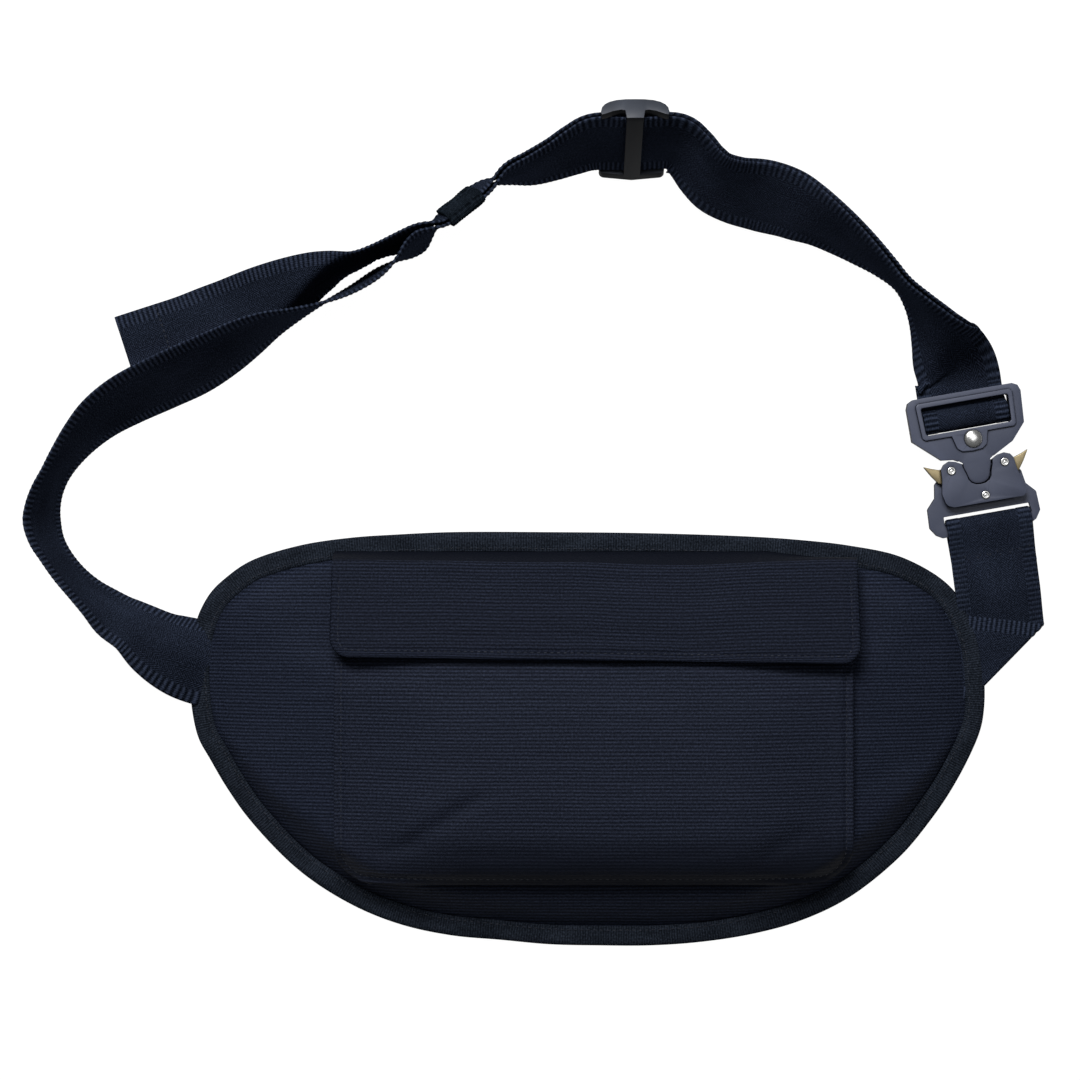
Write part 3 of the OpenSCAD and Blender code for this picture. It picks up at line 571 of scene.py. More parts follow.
M = {
    "front": ribbed_nylon("front_fabric", (0.0092, 0.0118, 0.0208), rib=0.75, weave=0.35),
    # painted shade on the pocket's lower slope, below v = -35
    "pocket": ribbed_nylon("pocket_fabric", (0.0098, 0.0122, 0.0208), rib=0.6, weave=0.4, slope_shade_from=-35.0),
    # painted shade: the flap's cloth colour is set darker than the pocket's to offset the stronger light on its
    # upward-tilted face; its riser strip is darkened further
    "flap": ribbed_nylon("flap_fabric", (0.0072, 0.0091, 0.0160), rib=0.8, weave=0.35, riser_shade_from=-13.2),
    "gusset": ribbed_nylon("gusset_fabric", (0.0072, 0.0090, 0.0155), rib=0.3, weave=0.5),
    "binding": tape_cloth("binding_tape", (0.0098, 0.0124, 0.0178)),
    "webbing": webbing_cloth("webbing", (0.0072, 0.0094, 0.0158)),
    "elastic": tape_cloth("elastic", (0.0055, 0.0078, 0.0112), pitch=0.9, across=0.8),
    "thread": plain_weave("thread", (0.0118, 0.0148, 0.0240), 0.4, 0.55),
    "lining": plain_weave("lining_fabric", (0.0105, 0.0125, 0.0180)),
    "back": mesh_cloth("back_mesh", (0.0095, 0.0110, 0.0150)),
    "hook": fuzzy("hook_loop", (0.0065, 0.0070, 0.0090)),
    "ziptape": plain_weave("zip_tape", (0.0090, 0.0100, 0.0130), 0.8),
    "teeth": hard("zip_teeth", (0.0160, 0.0165, 0.0190), 0.35),
    "zipmetal": hard("zip_metal", (0.0300, 0.0310, 0.0350), 0.3, 0.5, 0.6),
    "plastic": hard("black_plastic", (0.0400, 0.0460, 0.0600), 0.42, 0.3, 0.0, 0.3, 1.8, wall_shade=-0.58),
    "buckle": hard("buckle_black", (0.0420, 0.0485, 0.0750), 0.46, 0.28, 0.1, 0.35, 2.4, edge=1.35),
    "bezel": hard("bezel_black", (0.0500, 0.0570, 0.0860), 0.42, 0.3, 0.1, 0.35, 2.4, edge=1.5),
    "lever": hard("lever_metal", (0.235, 0.19, 0.105), 0.36, 0.4, 0.55, 0.2, 1.2, edge=1.3, streak=True),
    "rivet": hard("rivet_steel", (0.62, 0.62, 0.61), 0.25, 0.5, 0.9, 0.15, 1.0, edge=1.1),
    "spring": hard("spring_steel", (0.55, 0.55, 0.55), 0.3, 0.5, 0.95, 0.15, 1.0, edge=1.1),
}


def paint(ob, key):
    ob.data.materials.clear()
    ob.data.materials.append(M[key])
    return ob


def place(ob, key, body):
    paint(ob, key)
    if body:
        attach(ob, body)
    return ob


def stitches(name, path, up, key="thread", body="bag", pitch=3.0, length=2.2, r=0.26, sink=0.08):
    """Thread stitches along a path of points; up gives the surface normal at each point."""
    path = np.asarray(path, float)
    up = np.asarray(up, float)
    s = np.concatenate([[0], np.cumsum(np.linalg.norm(np.diff(path, axis=0), axis=1))])
    parts = []
    n = int((s[-1] - length) // pitch)
    for i in range(n + 1):
        st = []
        for t in np.linspace(0, 1, 5):
            q = i * pitch + 0.2 + t * length
            c = np.array([np.interp(q, s, path[:, k]) for k in range(3)])
            w = unit(np.array([np.interp(q, s, up[:, k]) for k in range(3)]))
            st.append((c, w, t))
        d = unit(st[-1][0] - st[0][0])
        V, F = [], []
        for c, w, t in st:
            side = unit(np.cross(d, w))
            rr = r * (1 - 0.75 * (2 * t - 1) ** 4)
            z = -sink - 0.30 * (2 * t - 1) ** 4
            for a in range(6):
                an = 2 * PI * a / 6
                V.append(c + w * (z + rr * math.sin(an)) + side * rr * math.cos(an))
        for j in range(4):
            for a in range(6):
                F.append([j * 6 + a, j * 6 + (a + 1) % 6, (j + 1) * 6 + (a + 1) % 6, (j + 1) * 6 + a])
        F.append([5, 4, 3, 2, 1, 0])
        F.append([24, 25, 26, 27, 28, 29])
        parts.append((V, F))
    V, F = join_parts(parts)
    ob = recalc(mesh(name, V, F, V[:, :2]))
    return place(ob, key, body)


# =====================================================================
# the bag's outline and heights, as in the CAD model
# =====================================================================
OUT = [(-178, 33), (-175, 53), (-169, 65), (-162, 72), (-151, 79.5), (-129, 86.5), (-106, 90), (-84, 91.5), (-61, 92.5), (-17, 92.5), (28, 92),
       (73, 90.5), (95, 89), (117, 86.5), (140, 81.5), (159, 71), (167, 62), (175, 44), (177.5, 26), (177.5, 15), (176, 5), (171, -7.5), (162, -24),
       (153, -37), (140, -52.5), (117, -71), (95, -81.5), (73, -87.5), (50, -91), (28, -92.5), (5, -92.5), (-17, -92), (-39, -90), (-61, -88),
       (-84, -83), (-106, -74), (-129, -59), (-151, -36.5), (-162, -21), (-169, -9), (-174, 0), (-177, 13)]
CROWN = 21.0
EDGE, EDGE_S = resample(catmull(np.array(OUT, float), 1.0, True), 2.0, True)
NE = len(EDGE)
_t = unit(np.roll(EDGE, -2, 0) - np.roll(EDGE, 2, 0))
EDGE_IN = np.stack([_t[:, 1], -_t[:, 0]], 1)


def edge_d(x, y):
    """Distance from (x, y) to the outline."""
    P = np.stack([np.ravel(x), np.ravel(y)], 1)
    A, B = EDGE, np.roll(EDGE, -1, 0)
    AB = B - A
    L = (AB * AB).sum(1)
    best = np.full(len(P), 1e9)
    for k in range(0, len(P), 4000):
        Q = P[k:k + 4000, None, :]
        t = np.clip(((Q - A) * AB).sum(2) / L, 0, 1)
        best[k:k + 4000] = np.linalg.norm(Q - A - t[..., None] * AB, axis=2).min(1)
    return best.reshape(np.shape(x))


top_h = smooth_lookup([(0, 2.5), (9, 3.0), (14, 6.4), (31, 12.2), (45, 13.8), (60, 17.2), (75, CROWN), (300, CROWN)])
bot_h = smooth_lookup([(0, 2.5), (9, 3.0), (13, 7), (20, 13), (30, 17.5), (45, 20), (70, CROWN), (300, CROWN)])
end_h = smooth_lookup([(0, 2.5), (9, 3.0), (20, 7.5), (40, 13.5), (70, 19), (95, CROWN), (400, CROWN)])


def crease(x, y, a, b, width, depth):
    """A soft valley (depth > 0) or ridge along the line a-b."""
    a, b = np.array(a, float), np.array(b, float)
    ab = b - a
    L = np.linalg.norm(ab)
    t = ((x - a[0]) * ab[0] + (y - a[1]) * ab[1]) / L**2
    d = ((x - a[0]) * ab[1] - (y - a[1]) * ab[0]) / L
    along = np.exp(-np.maximum(np.abs(t - 0.5) - 0.32, 0) ** 2 / 0.035)
    return -depth * along * np.exp(-(d / width) ** 2)


def front_base(x, y):
    d = edge_d(x, y)
    z = soft_min([top_h(92.5 - y), bot_h(y + 92.5), end_h(178 - np.abs(x)), 2.9 + 1.15 * np.maximum(d - 9, 0), CROWN + 0 * x], 0.8) + 0.25
    return np.where(d < 9.6, np.minimum(z, 2.95), z), d


def front_z(x, y):
    z, d = front_base(x, y)
    s = np.arctan2(y, x) * 170
    near = np.exp(-np.maximum(d - 9.5, 0) / 6.5) * sstep(9.2, 10.6, d)
    pucker = value_noise(s, d * 0.35, 3, 9) * 0.6 + value_noise(s, d * 0.3, 5, 4.5) * 0.35
    z = z + near * pucker * 0.55
    body = sstep(11, 22, d)
    z = z + body * (0.35 * value_noise(x, y * 1.6, 11, 38) + 0.16 * value_noise(x + 0.4 * y, y - 0.2 * x, 17, 15))
    # pulls from the flap's corners and the pocket's lower corners
    z = z + crease(x, y, (121, 74), (150, 60), 3.2, 0.8) + crease(x, y, (123, 80), (146, 72), 2.4, 0.55) - crease(x, y, (120, 66), (151, 48), 4.0, 0.5)
    z = z + crease(x, y, (-118, 76), (-146, 62), 3.2, 0.55) + crease(x, y, (-116, 60), (-150, 38), 5.0, 0.45)
    z = z + crease(x, y, (-118, -40), (-136, -34), 4.0, 0.5) + crease(x, y, (122, -40), (142, -28), 4.5, 0.6) + crease(x, y, (120, -20), (152, -2), 6.0, 0.5)
    z = z + crease(x, y, (20, -76), (44, -72), 2.2, 0.5) + crease(x, y, (30, -80), (62, -74), 2.4, 0.45) + crease(x, y, (-40, -78), (-12, -74), 2.6, 0.4)
    return z


# ---------------------------------------------------------------- front panel
def spine(P):
    return np.stack([np.clip(P[:, 0], -70, 70), np.full(len(P), 12.0)], 1)


def front_panel():
    rows = []
    for d in (7.4, 8.4, 9.2, 9.8, 10.5, 11.3, 12.2, 13.2, 14.3, 15.5, 16.8, 18.2):
        rows.append(EDGE + EDGE_IN * d)
    base = rows[-1]
    sp = spine(base)
    for t in list(np.linspace(0.028, 0.9, 36)):
        rows.append(base + (sp - base) * t)
    R = np.array(rows)
    X, Y = R[..., 0], R[..., 1]
    Z = front_z(X, Y)
    Z[0], Z[1] = 2.15, 2.35
    Z[2] = np.minimum(Z[2], 2.75)
    Z[-1] = Z[-2] = Z[-2].mean()
    top = np.stack([X, Y, Z], -1)
    m, n = X.shape
    bot = top.copy()
    bot[..., 2] -= 1.15
    bot[0, :, 2] = 1.55
    bot[1, :, 2] = 1.6
    bot[2, :, 2] = 1.7
    o = m * n
    F = grid_faces(m, n, wrap_j=True) + grid_faces(m, n, wrap_j=True, o=o, flip=True)
    F += [[j, (j + 1) % n, o + (j + 1) % n, o + j] for j in range(n)]
    a = (m - 1) * n
    F.append([a + j for j in range(n)])
    F.append([o + a + j for j in range(n - 1, -1, -1)])
    V = np.concatenate([top.reshape(-1, 3), bot.reshape(-1, 3)])
    ob = recalc(mesh("front_panel_cloth", V, F, V[:, :2]))
    # slot for the zip, cut straight through
    cut = mesh("zip_cutter", np.array([[x, y, z] for x in (-95, 95) for y in (-2.8, 2.8) for z in (-4, 4)], float),
               [[0, 1, 3, 2], [4, 6, 7, 5], [0, 4, 5, 1], [2, 3, 7, 6], [0, 2, 6, 4], [1, 5, 7, 3]])
    recalc(cut)
    cut.rotation_euler = (-ZIP_A, 0, 0)
    cut.location = (0, ZIP_Y * 0.001, ZIP_Z * 0.001)
    bpy.context.view_layer.update()
    b = ob.modifiers.new("slot", "BOOLEAN")
    b.operation = "DIFFERENCE"
    b.solver = "EXACT"
    b.object = cut
    dg = bpy.context.evaluated_depsgraph_get()
    me = bpy.data.meshes.new_from_object(ob.evaluated_get(dg), depsgraph=dg)
    ok = len(me.polygons) > 1000
    ob.modifiers.remove(b)
    if ok:
        ob.data = me
        me.polygons.foreach_set("use_smooth", np.full(len(me.polygons), True))
    bpy.data.objects.remove(cut)
    smooth_edges(ob, 38)
    return ob


ZIP_Y = 69.0
ZIP_Z = 6.4 + (92.5 - 69 - 14) * 5.8 / 17
ZIP_A = math.atan(5.8 / 17)


def at_zip(P):
    P = np.asarray(P, float)
    c, s = math.cos(-ZIP_A), math.sin(-ZIP_A)
    return np.stack([P[..., 0], ZIP_Y + P[..., 1] * c - P[..., 2] * s, ZIP_Z + P[..., 1] * s + P[..., 2] * c], -1)


panel = place(front_panel(), "front", "bag")
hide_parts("front_panel")


# ---------------------------------------------------------------- binding
def binding():
    prof = [(9.0, 2.45), (9.15, 2.75), (9.0, 3.1), (8.3, 3.32), (7.2, 3.42), (5.6, 3.5), (4.0, 3.52), (2.6, 3.44), (1.4, 3.18), (0.6, 2.72), (0.15, 2.1), (0.05, 1.5),
            (0.3, 0.9), (0.9, 0.42), (1.9, 0.14), (3.4, 0.04), (5.5, 0.02), (7.6, 0.04), (8.8, 0.2), (9.1, 0.5), (8.8, 0.82), (7.0, 0.86), (3.0, 0.9), (1.6, 1.2), (1.3, 1.7), (1.8, 2.3), (3.4, 2.55), (6.0, 2.5)]
    prof = np.array(prof)
    B, s = resample(EDGE, 1.6, True)
    t = unit(np.roll(B, -2, 0) - np.roll(B, 2, 0))
    n_in = np.stack([t[:, 1], -t[:, 0]], 1)
    lenp = np.concatenate([[0], np.cumsum(np.linalg.norm(np.diff(prof, axis=0), axis=1))])
    wob = 0.45 * value_noise(s, 0 * s, 21, 17) + 0.25 * value_noise(s, 0 * s, 23, 7)
    V = np.zeros((len(B), len(prof), 3))
    U = np.zeros((len(B), len(prof), 2))
    for k, (d, z) in enumerate(prof):
        top = z > 2.4
        dd = d + (wob * 0.55 if d > 6 and top else 0)
        bulge = 0.16 * value_noise(s, 0 * s + k * 0.5, 29, 5.5) if top else 0
        V[:, k, :2] = B + n_in * (np.asarray(dd)[..., None] if np.ndim(dd) else dd)
        V[:, k, 2] = z + bulge
        U[:, k, 0] = s
        U[:, k, 1] = lenp[k]
    F = grid_faces(len(B), len(prof), wrap_i=True, wrap_j=True)
    ob = recalc(mesh("edge_binding", V.reshape(-1, 3), F, U.reshape(-1, 2)))
    place(ob, "binding", "bag")
    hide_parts("binding")
    for nm, d, z in (("binding_stitches", 7.3, 3.5),):
        P = np.concatenate([B + n_in * (d + 0.5 * wob[:, None]), np.full((len(B), 1), z)], 1)
        up = np.tile([0, 0, 1.0], (len(P), 1))
        stitches(nm, P, up, pitch=2.9, length=2.1, r=0.24, sink=0.0)


binding()


# ---------------------------------------------------------------- back panel (padded), lining
def back_pad():
    rows = []
    for d in (8.4, 9.6, 10.6, 12, 14, 17, 21):
        rows.append(EDGE + EDGE_IN * d)
    base = rows[-1]
    sp = spine(base)
    for t in np.linspace(0.04, 0.9, 30):
        rows.append(base + (sp - base) * t)
    R = np.array(rows)
    X, Y = R[..., 0], R[..., 1]
    d = edge_d(X, Y)
    # sewn channels: an inner border line, two upright lines and a long middle one
    lines = [gauss(d - 24, 2.2), gauss(X - 62, 2.2) * sstep(24, 27, d), gauss(X + 62, 2.2) * sstep(24, 27, d), gauss(Y - 14 - X * X * 0.0004, 2.2) * sstep(24, 27, d)]
    ch = np.clip(np.maximum.reduce(lines), 0, 1)
    low = 0.06 + 1.5 * ch + 0.25 * np.abs(value_noise(X, Y, 41, 14)) * sstep(10, 15, d)
    low = np.where(d < 13, low + 0.9 * (1 - sstep(9.5, 13, d)), low)
    high = 3.15 + 0.0 * X
    high = np.where(d < 12, 1.9 + 1.25 * sstep(8.4, 12, d), high)
    top = np.stack([X, Y, high], -1)
    bot = np.stack([X, Y, np.minimum(low, high - 0.5)], -1)
    m, n = X.shape
    o = m * n
    F = grid_faces(m, n, wrap_j=True) + grid_faces(m, n, wrap_j=True, o=o, flip=True)
    F += [[j, (j + 1) % n, o + (j + 1) % n, o + j] for j in range(n)]
    a = (m - 1) * n
    bot[-1, :, 2] = 0.9
    F.append([a + j for j in range(n)])
    F.append([o + a + j for j in range(n - 1, -1, -1)])
    V = np.concatenate([top.reshape(-1, 3), bot.reshape(-1, 3)])
    ob = recalc(mesh("back_pad", V, F, V[:, :2]))
    place(ob, "back", "bag")
    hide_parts("back_panel", "back_padding")
    # lining inside, laid on the padding
    X2, Y2 = R[4:, ::2, 0], R[4:, ::2, 1]
    Z2 = 3.65 + 0.12 * value_noise(X2, Y2, 43, 21)
    Z2[-1] = 3.65
    mm, nn = X2.shape
    T = np.stack([X2, Y2, Z2], -1)
    Bt = T - [0, 0, 0.35]
    oo = mm * nn
    F = grid_faces(mm, nn, wrap_j=True) + grid_faces(mm, nn, wrap_j=True, o=oo, flip=True)
    F += [[j, (j + 1) % nn, oo + (j + 1) % nn, oo + j] for j in range(nn)]
    a = (mm - 1) * nn
    F.append([a + j for j in range(nn)])
    F.append([oo + a + j for j in range(nn - 1, -1, -1)])
    V = np.concatenate([T.reshape(-1, 3), Bt.reshape(-1, 3)])
    li = recalc(mesh("lining_sheet", V, F, V[:, :2]))
    place(li, "lining", "bag")
    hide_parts("lining")


back_pad()


# ---------------------------------------------------------------- zip
def zip_parts():
    for nm, s in (("upper", 1), ("lower", -1)):
        xs = np.linspace(-98, 98, 140)
        ys = np.linspace(1.5, 8.0, 12) * s
        X, Y = np.meshgrid(xs, ys, indexing="ij")
        Z = -2.3 + 0.06 * value_noise(X, Y, 51 + s, 8) - 0.25 * sstep(4.5, 8, np.abs(Y))
        top = at_zip(np.stack([X, Y, Z], -1))
        bot = at_zip(np.stack([X, Y, Z - 0.5], -1))
        ob = shell("zip_tape_cloth_" + nm, top, bot, np.stack([X, Y], -1))
        place(ob, "ziptape", "bag")
        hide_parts("zip_tape_" + nm)
        # folded edge of the panel along the slot
        xs = np.linspace(-95.5, 95.5, 160)
        ang = np.linspace(-PI * 0.62, PI * 0.62, 9)
        A, XX = np.meshgrid(ang, xs, indexing="xy")
        r = 0.55
        yy = s * (3.15 + 0.9 * (1 - np.cos(A)) * 0 - r * np.cos(A)) + 0 * XX
        zz = -0.52 + r * np.sin(A) * 1.15 + 0.05 * value_noise(XX, A, 57, 5)
        P = at_zip(np.stack([XX, yy, zz], -1))
        Q = at_zip(np.stack([XX, yy + s * 0.35, zz * 0.75 - 0.12], -1))
        w = shell("zip_welt_" + nm, P, Q, np.stack([XX, A * r], -1))
        place(w, "front", "bag")
        P = at_zip(np.stack([xs, np.full_like(xs, s * 5.0), np.full_like(xs, 0.0)], -1))
        P[:, 2] = front_z(P[:, 0], P[:, 1]) + 0.1
        stitches("zip_stitches_" + nm, P, np.tile([0, 0.32, 0.95], (len(P), 1)), pitch=3.0, length=2.1, r=0.22)


zip_parts()
for nm, w in (("zip_teeth_upper", 0.18), ("zip_teeth_lower", 0.18)):
    bevel(paint(frame["nodes"][nm], "teeth"), w, 2, 40, True)
bevel(paint(frame["nodes"]["zip_stops"], "zipmetal"), 0.25, 3, 40, True)
bevel(paint(frame["nodes"]["zip_slider"], "zipmetal"), 0.3, 3, 40, True)
bevel(paint(frame["nodes"]["zip_puller"], "zipmetal"), 0.3, 3, 40, True)

# ---------------------------------------------------------------- pocket
PX0, PX1, PY0, PY1 = -111.5, 116.0, -62.0, 62.0
SLOPE = math.radians(16.7)


def line_z(y):
    return 19 + (62 - y) * math.tan(SLOPE)


pocket_c = smooth_lookup([(-62, 24), (-57.5, 30.0), (-50, 34.5), (-40, 36.5), (-30, 37), (-10, 35), (12, 32.6), (30, 28.3), (39, line_z(39)), (62, 19)])


def pocket_corner(y):
    r = 15.0
    t = np.clip(PY0 + r - np.asarray(y, float), 0, r)
    return r - np.sqrt(np.maximum(0, r * r - t * t))


def pocket_z(x, y):
    e = front_base(np.clip(x, -108, 112.5), np.clip(y, -60, 62))[0] + 4.6
    c = pocket_c(y)
    k = 1 - sstep(58, 111, np.abs(x - 2.7))
    return soft_min([e, c + 0 * e], 1.0) * (1 - k) + c * k


def pocket_panel():
    ys = np.concatenate([np.array([-62, -61.6, -61, -60.3, -59.6, -58.9, -58.2, -57.4, -56.5, -55.5, -54.4, -53.2, -52, -50.6]), np.linspace(-49.2, 60, 76), [60.8, 61.4, 61.8, 62]])
    us = np.concatenate([[0, 0.0025, 0.006, 0.010, 0.014, 0.018, 0.023, 0.029], np.linspace(0.037, 0.963, 120), [0.971, 0.977, 0.982, 0.986, 0.990, 0.994, 0.9975, 1]])
    Y, U = np.meshgrid(ys, us, indexing="ij")
    c = pocket_corner(Y)
    X = (PX0 + c) * (1 - U) + (PX1 - c) * U
    Z = pocket_z(X, Y)
    e = np.minimum.reduce([X - (PX0 + 0), (PX1 - X), Y - PY0])
    # distance to the rounded lower corners
    for sx, cx in ((-1, PX0 + 15), (1, PX1 - 15)):
        inside = (sx * (X - cx) > 0) & (Y < PY0 + 15)
        rad = 15 - np.hypot(X - cx, Y - (PY0 + 15))
        e = np.where(inside, rad, e)
    e = np.maximum(e, 0)
    # flat sewn border, a groove on the stitch line, then the swell behind it
    Z = Z - 0.85 * gauss(e - 3.0, 1.1) + 0.45 * gauss(e - 6.5, 2.6) - 0.35 * np.exp(-e / 0.7)
    run = X + Y * 0.6
    puck = value_noise(run, e * 0.2, 61, 6.5) * 0.5 + value_noise(run, e * 0.2, 67, 3.2) * 0.3
    Z = Z + puck * 0.5 * np.exp(-np.maximum(e - 3, 0) / 5.5)
    # soft folds
    Z = Z + crease(X, Y, (-82, -45), (-46, -22), 3.4, 1.25) - crease(X, Y, (-84, -38), (-52, -16), 5.0, 0.7)
    Z = Z + crease(X, Y, (-92, -47), (-72, -43), 3.0, 0.8) + crease(X, Y, (76, -48), (96, -38), 4.0, 0.9) - crease(X, Y, (70, -42), (88, -31), 5.0, 0.5)
    Z = Z + crease(X, Y, (-60, -47), (-12, -49), 3.5, 0.5) + crease(X, Y, (14, -50), (56, -47), 3.5, 0.45)
    Z = Z + 0.55 * value_noise(X, Y * 1.4, 71, 44) * sstep(4, 18, e) + 0.22 * value_noise(X + 0.5 * Y, Y, 73, 17) * sstep(4, 12, e)
    P = np.stack([X, Y, Z], -1)
    uv = np.stack([X, Y], -1)
    ob = skin("pocket_front", P, uv, 0.95 + 0.5 * np.exp(-e / 1.5))
    place(ob, "pocket", "bag")
    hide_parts("pocket_panel")
    # stitch line round three sides
    d = 3.05
    arc_l = [(PX0 + 15 - (15 - d) * math.cos(a), PY0 + 15 - (15 - d) * math.sin(a)) for a in np.linspace(0, PI / 2, 16)]
    arc_r = [(PX1 - 15 + (15 - d) * math.sin(a), PY0 + 15 - (15 - d) * math.cos(a)) for a in np.linspace(0, PI / 2, 16)]
    line = [(PX0 + d, y) for y in np.linspace(61, PY0 + 15.5, 60)] + arc_l + [(x, PY0 + d) for x in np.linspace(PX0 + 15.5, PX1 - 15.5, 120)] + arc_r + [(PX1 - d, y) for y in np.linspace(PY0 + 15.5, 61, 60)]
    from mathutils.bvhtree import BVHTree
    dg = bpy.context.evaluated_depsgraph_get()
    tree = BVHTree.FromObject(ob, dg)
    pts, ups = drop_on(tree, line)
    stitches("pocket_stitches", pts, ups, pitch=2.9, length=2.1, r=0.27, sink=0.05)
    return ob


def drop_on(tree, line, z0=0.2):
    pts, ups = [], []
    for x, y in line:
        hit = tree.ray_cast(Vector((x * 0.001, y * 0.001, z0)), Vector((0, 0, -1)))
        if hit[0] is not None:
            pts.append([c * 1000 for c in hit[0]])
            n = hit[1]
            ups.append(list(n if n.z > 0 else -n))
    return np.array(pts), np.array(ups)


pocket = pocket_panel()


def gusset():
    pts = [(PX0 + 3, y) for y in np.linspace(60, PY0 + 15, 60)]
    pts += [(PX0 + 3 + 12 * (1 - math.cos(a)), PY0 + 15 - 12 * math.sin(a)) for a in np.linspace(0, PI / 2, 14)[1:]]
    pts += [(x, PY0 + 3) for x in np.linspace(PX0 + 15, PX1 - 15, 110)[1:]]
    pts += [(PX1 - 3 - 12 * (1 - math.cos(a)), PY0 + 15 - 12 * math.sin(a)) for a in np.linspace(PI / 2, 0, 14)[1:]]
    pts += [(PX1 - 3, y) for y in np.linspace(PY0 + 15, 60, 60)[1:]]
    P = np.array(pts)
    t = unit(np.gradient(P, axis=0))
    n_out = np.stack([t[:, 1], -t[:, 0]], 1)
    zb = front_z(P[:, 0], P[:, 1]) - 0.15
    zt = pocket_z(P[:, 0], P[:, 1]) - 1.15
    zt = np.maximum(zt, zb + 1.2)
    k = np.linspace(0, 1, 12)
    s = np.concatenate([[0], np.cumsum(np.linalg.norm(np.diff(P, axis=0), axis=1))])
    G = np.zeros((len(P), len(k), 3))
    H = np.zeros_like(G)
    U = np.zeros((len(P), len(k), 2))
    for j, q in enumerate(k):
        h = zt - zb
        # one soft inward fold half-way up, deeper where the wall is tall, and small crumples
        inw = -np.minimum(h * 0.10, 1.2) * math.sin(PI * q) ** 2 + 0.25 * value_noise(s, 0 * s + q * 9, 81, 9) * math.sin(PI * q)
        G[:, j, :2] = P + n_out * inw[:, None]
        G[:, j, 2] = zb + h * q
        H[:, j, :2] = G[:, j, :2] - n_out * 0.8
        H[:, j, 2] = G[:, j, 2]
        U[:, j, 0] = s
        U[:, j, 1] = h * q
    ob = shell("pocket_wall", G, H, U)
    place(ob, "gusset", "bag")
    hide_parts("pocket_gusset")
    # turned hem across the mouth
    xs = np.linspace(-82, 86, 90)
    ys = np.linspace(54, 61.4, 9)
    X, Y = np.meshgrid(xs, ys, indexing="ij")
    Z = pocket_z(X, Y) - 1.45 + 0.05 * value_noise(X, Y, 83, 6)
    ob = shell("pocket_mouth_hem", np.stack([X, Y, Z], -1), np.stack([X, Y, Z - 0.6], -1), np.stack([X, Y], -1))
    place(ob, "gusset", "bag")
    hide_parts("pocket_hem")


gusset()


def at_slope(P, y0, z0):
    P = np.asarray(P, float)
    c, s = math.cos(-SLOPE), math.sin(-SLOPE)
    return np.stack([P[..., 0], y0 + P[..., 1] * c - P[..., 2] * s, z0 + P[..., 1] * s + P[..., 2] * c], -1)


def pads(name, z0, z1, y0, zy, key, body, node):
    parts, uvs = [], []
    for px in (-34, 40):
        a = np.linspace(0, 2 * PI, 72, endpoint=False)
        rings = []
        sg = lambda v: np.sign(v) * np.abs(v) ** 0.32
        for k, (f, z) in enumerate([(0.97, z0), (1.0, z0 + 0.15), (1.0, z1 - 0.25), (0.985, z1 - 0.05), (0.93, z1), (0.75, z1), (0.5, z1), (0.25, z1)]):
            x = px + 15 * f * sg(np.cos(a))
            y = 8 * (f if k < 5 else f) * sg(np.sin(a))
            zz = z + (0.12 * value_noise(x, y, 91 + k, 1.6) if k >= 4 else 0)
            rings.append(np.stack([x, y, zz + 0 * x], -1))
        G = np.array(rings)
        V = at_slope(G, y0, zy).reshape(-1, 3)
        m, n = G.shape[:2]
        F = grid_faces(m, n, wrap_j=True)
        F.append(list(range(n - 1, -1, -1)))
        F.append([(m - 1) * n + j for j in range(n)])
        parts.append((V, F))
    V, F = join_parts(parts)
    ob = recalc(mesh(name, V, F, V[:, :2]))
    place(ob, key, body)
    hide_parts(node)


pads("hook_tape_pads", 0.25, 1.15, 50, line_z(50), "hook", "bag", "pocket_hook_pads")
pads("loop_tape_pads", 1.5, 2.3, 50, line_z(50), "hook", "flap", "flap_loop_pads")

# ---------------------------------------------------------------- flap
FX0, FX1, FL, FR, FRAD = -113.0, 118.5, 42.0, 45.1, 9.0
FOLD_Y = 78.0
FOLD_Z = line_z(FOLD_Y) + 3.5


def flap_len(x):
    return FL + (FR - FL) * (x - FX0) / (FX1 - FX0)


def flap_corner(q):
    t = np.clip(FRAD - q, 0, FRAD)
    return FRAD - np.sqrt(np.maximum(0, FRAD * FRAD - t * t))


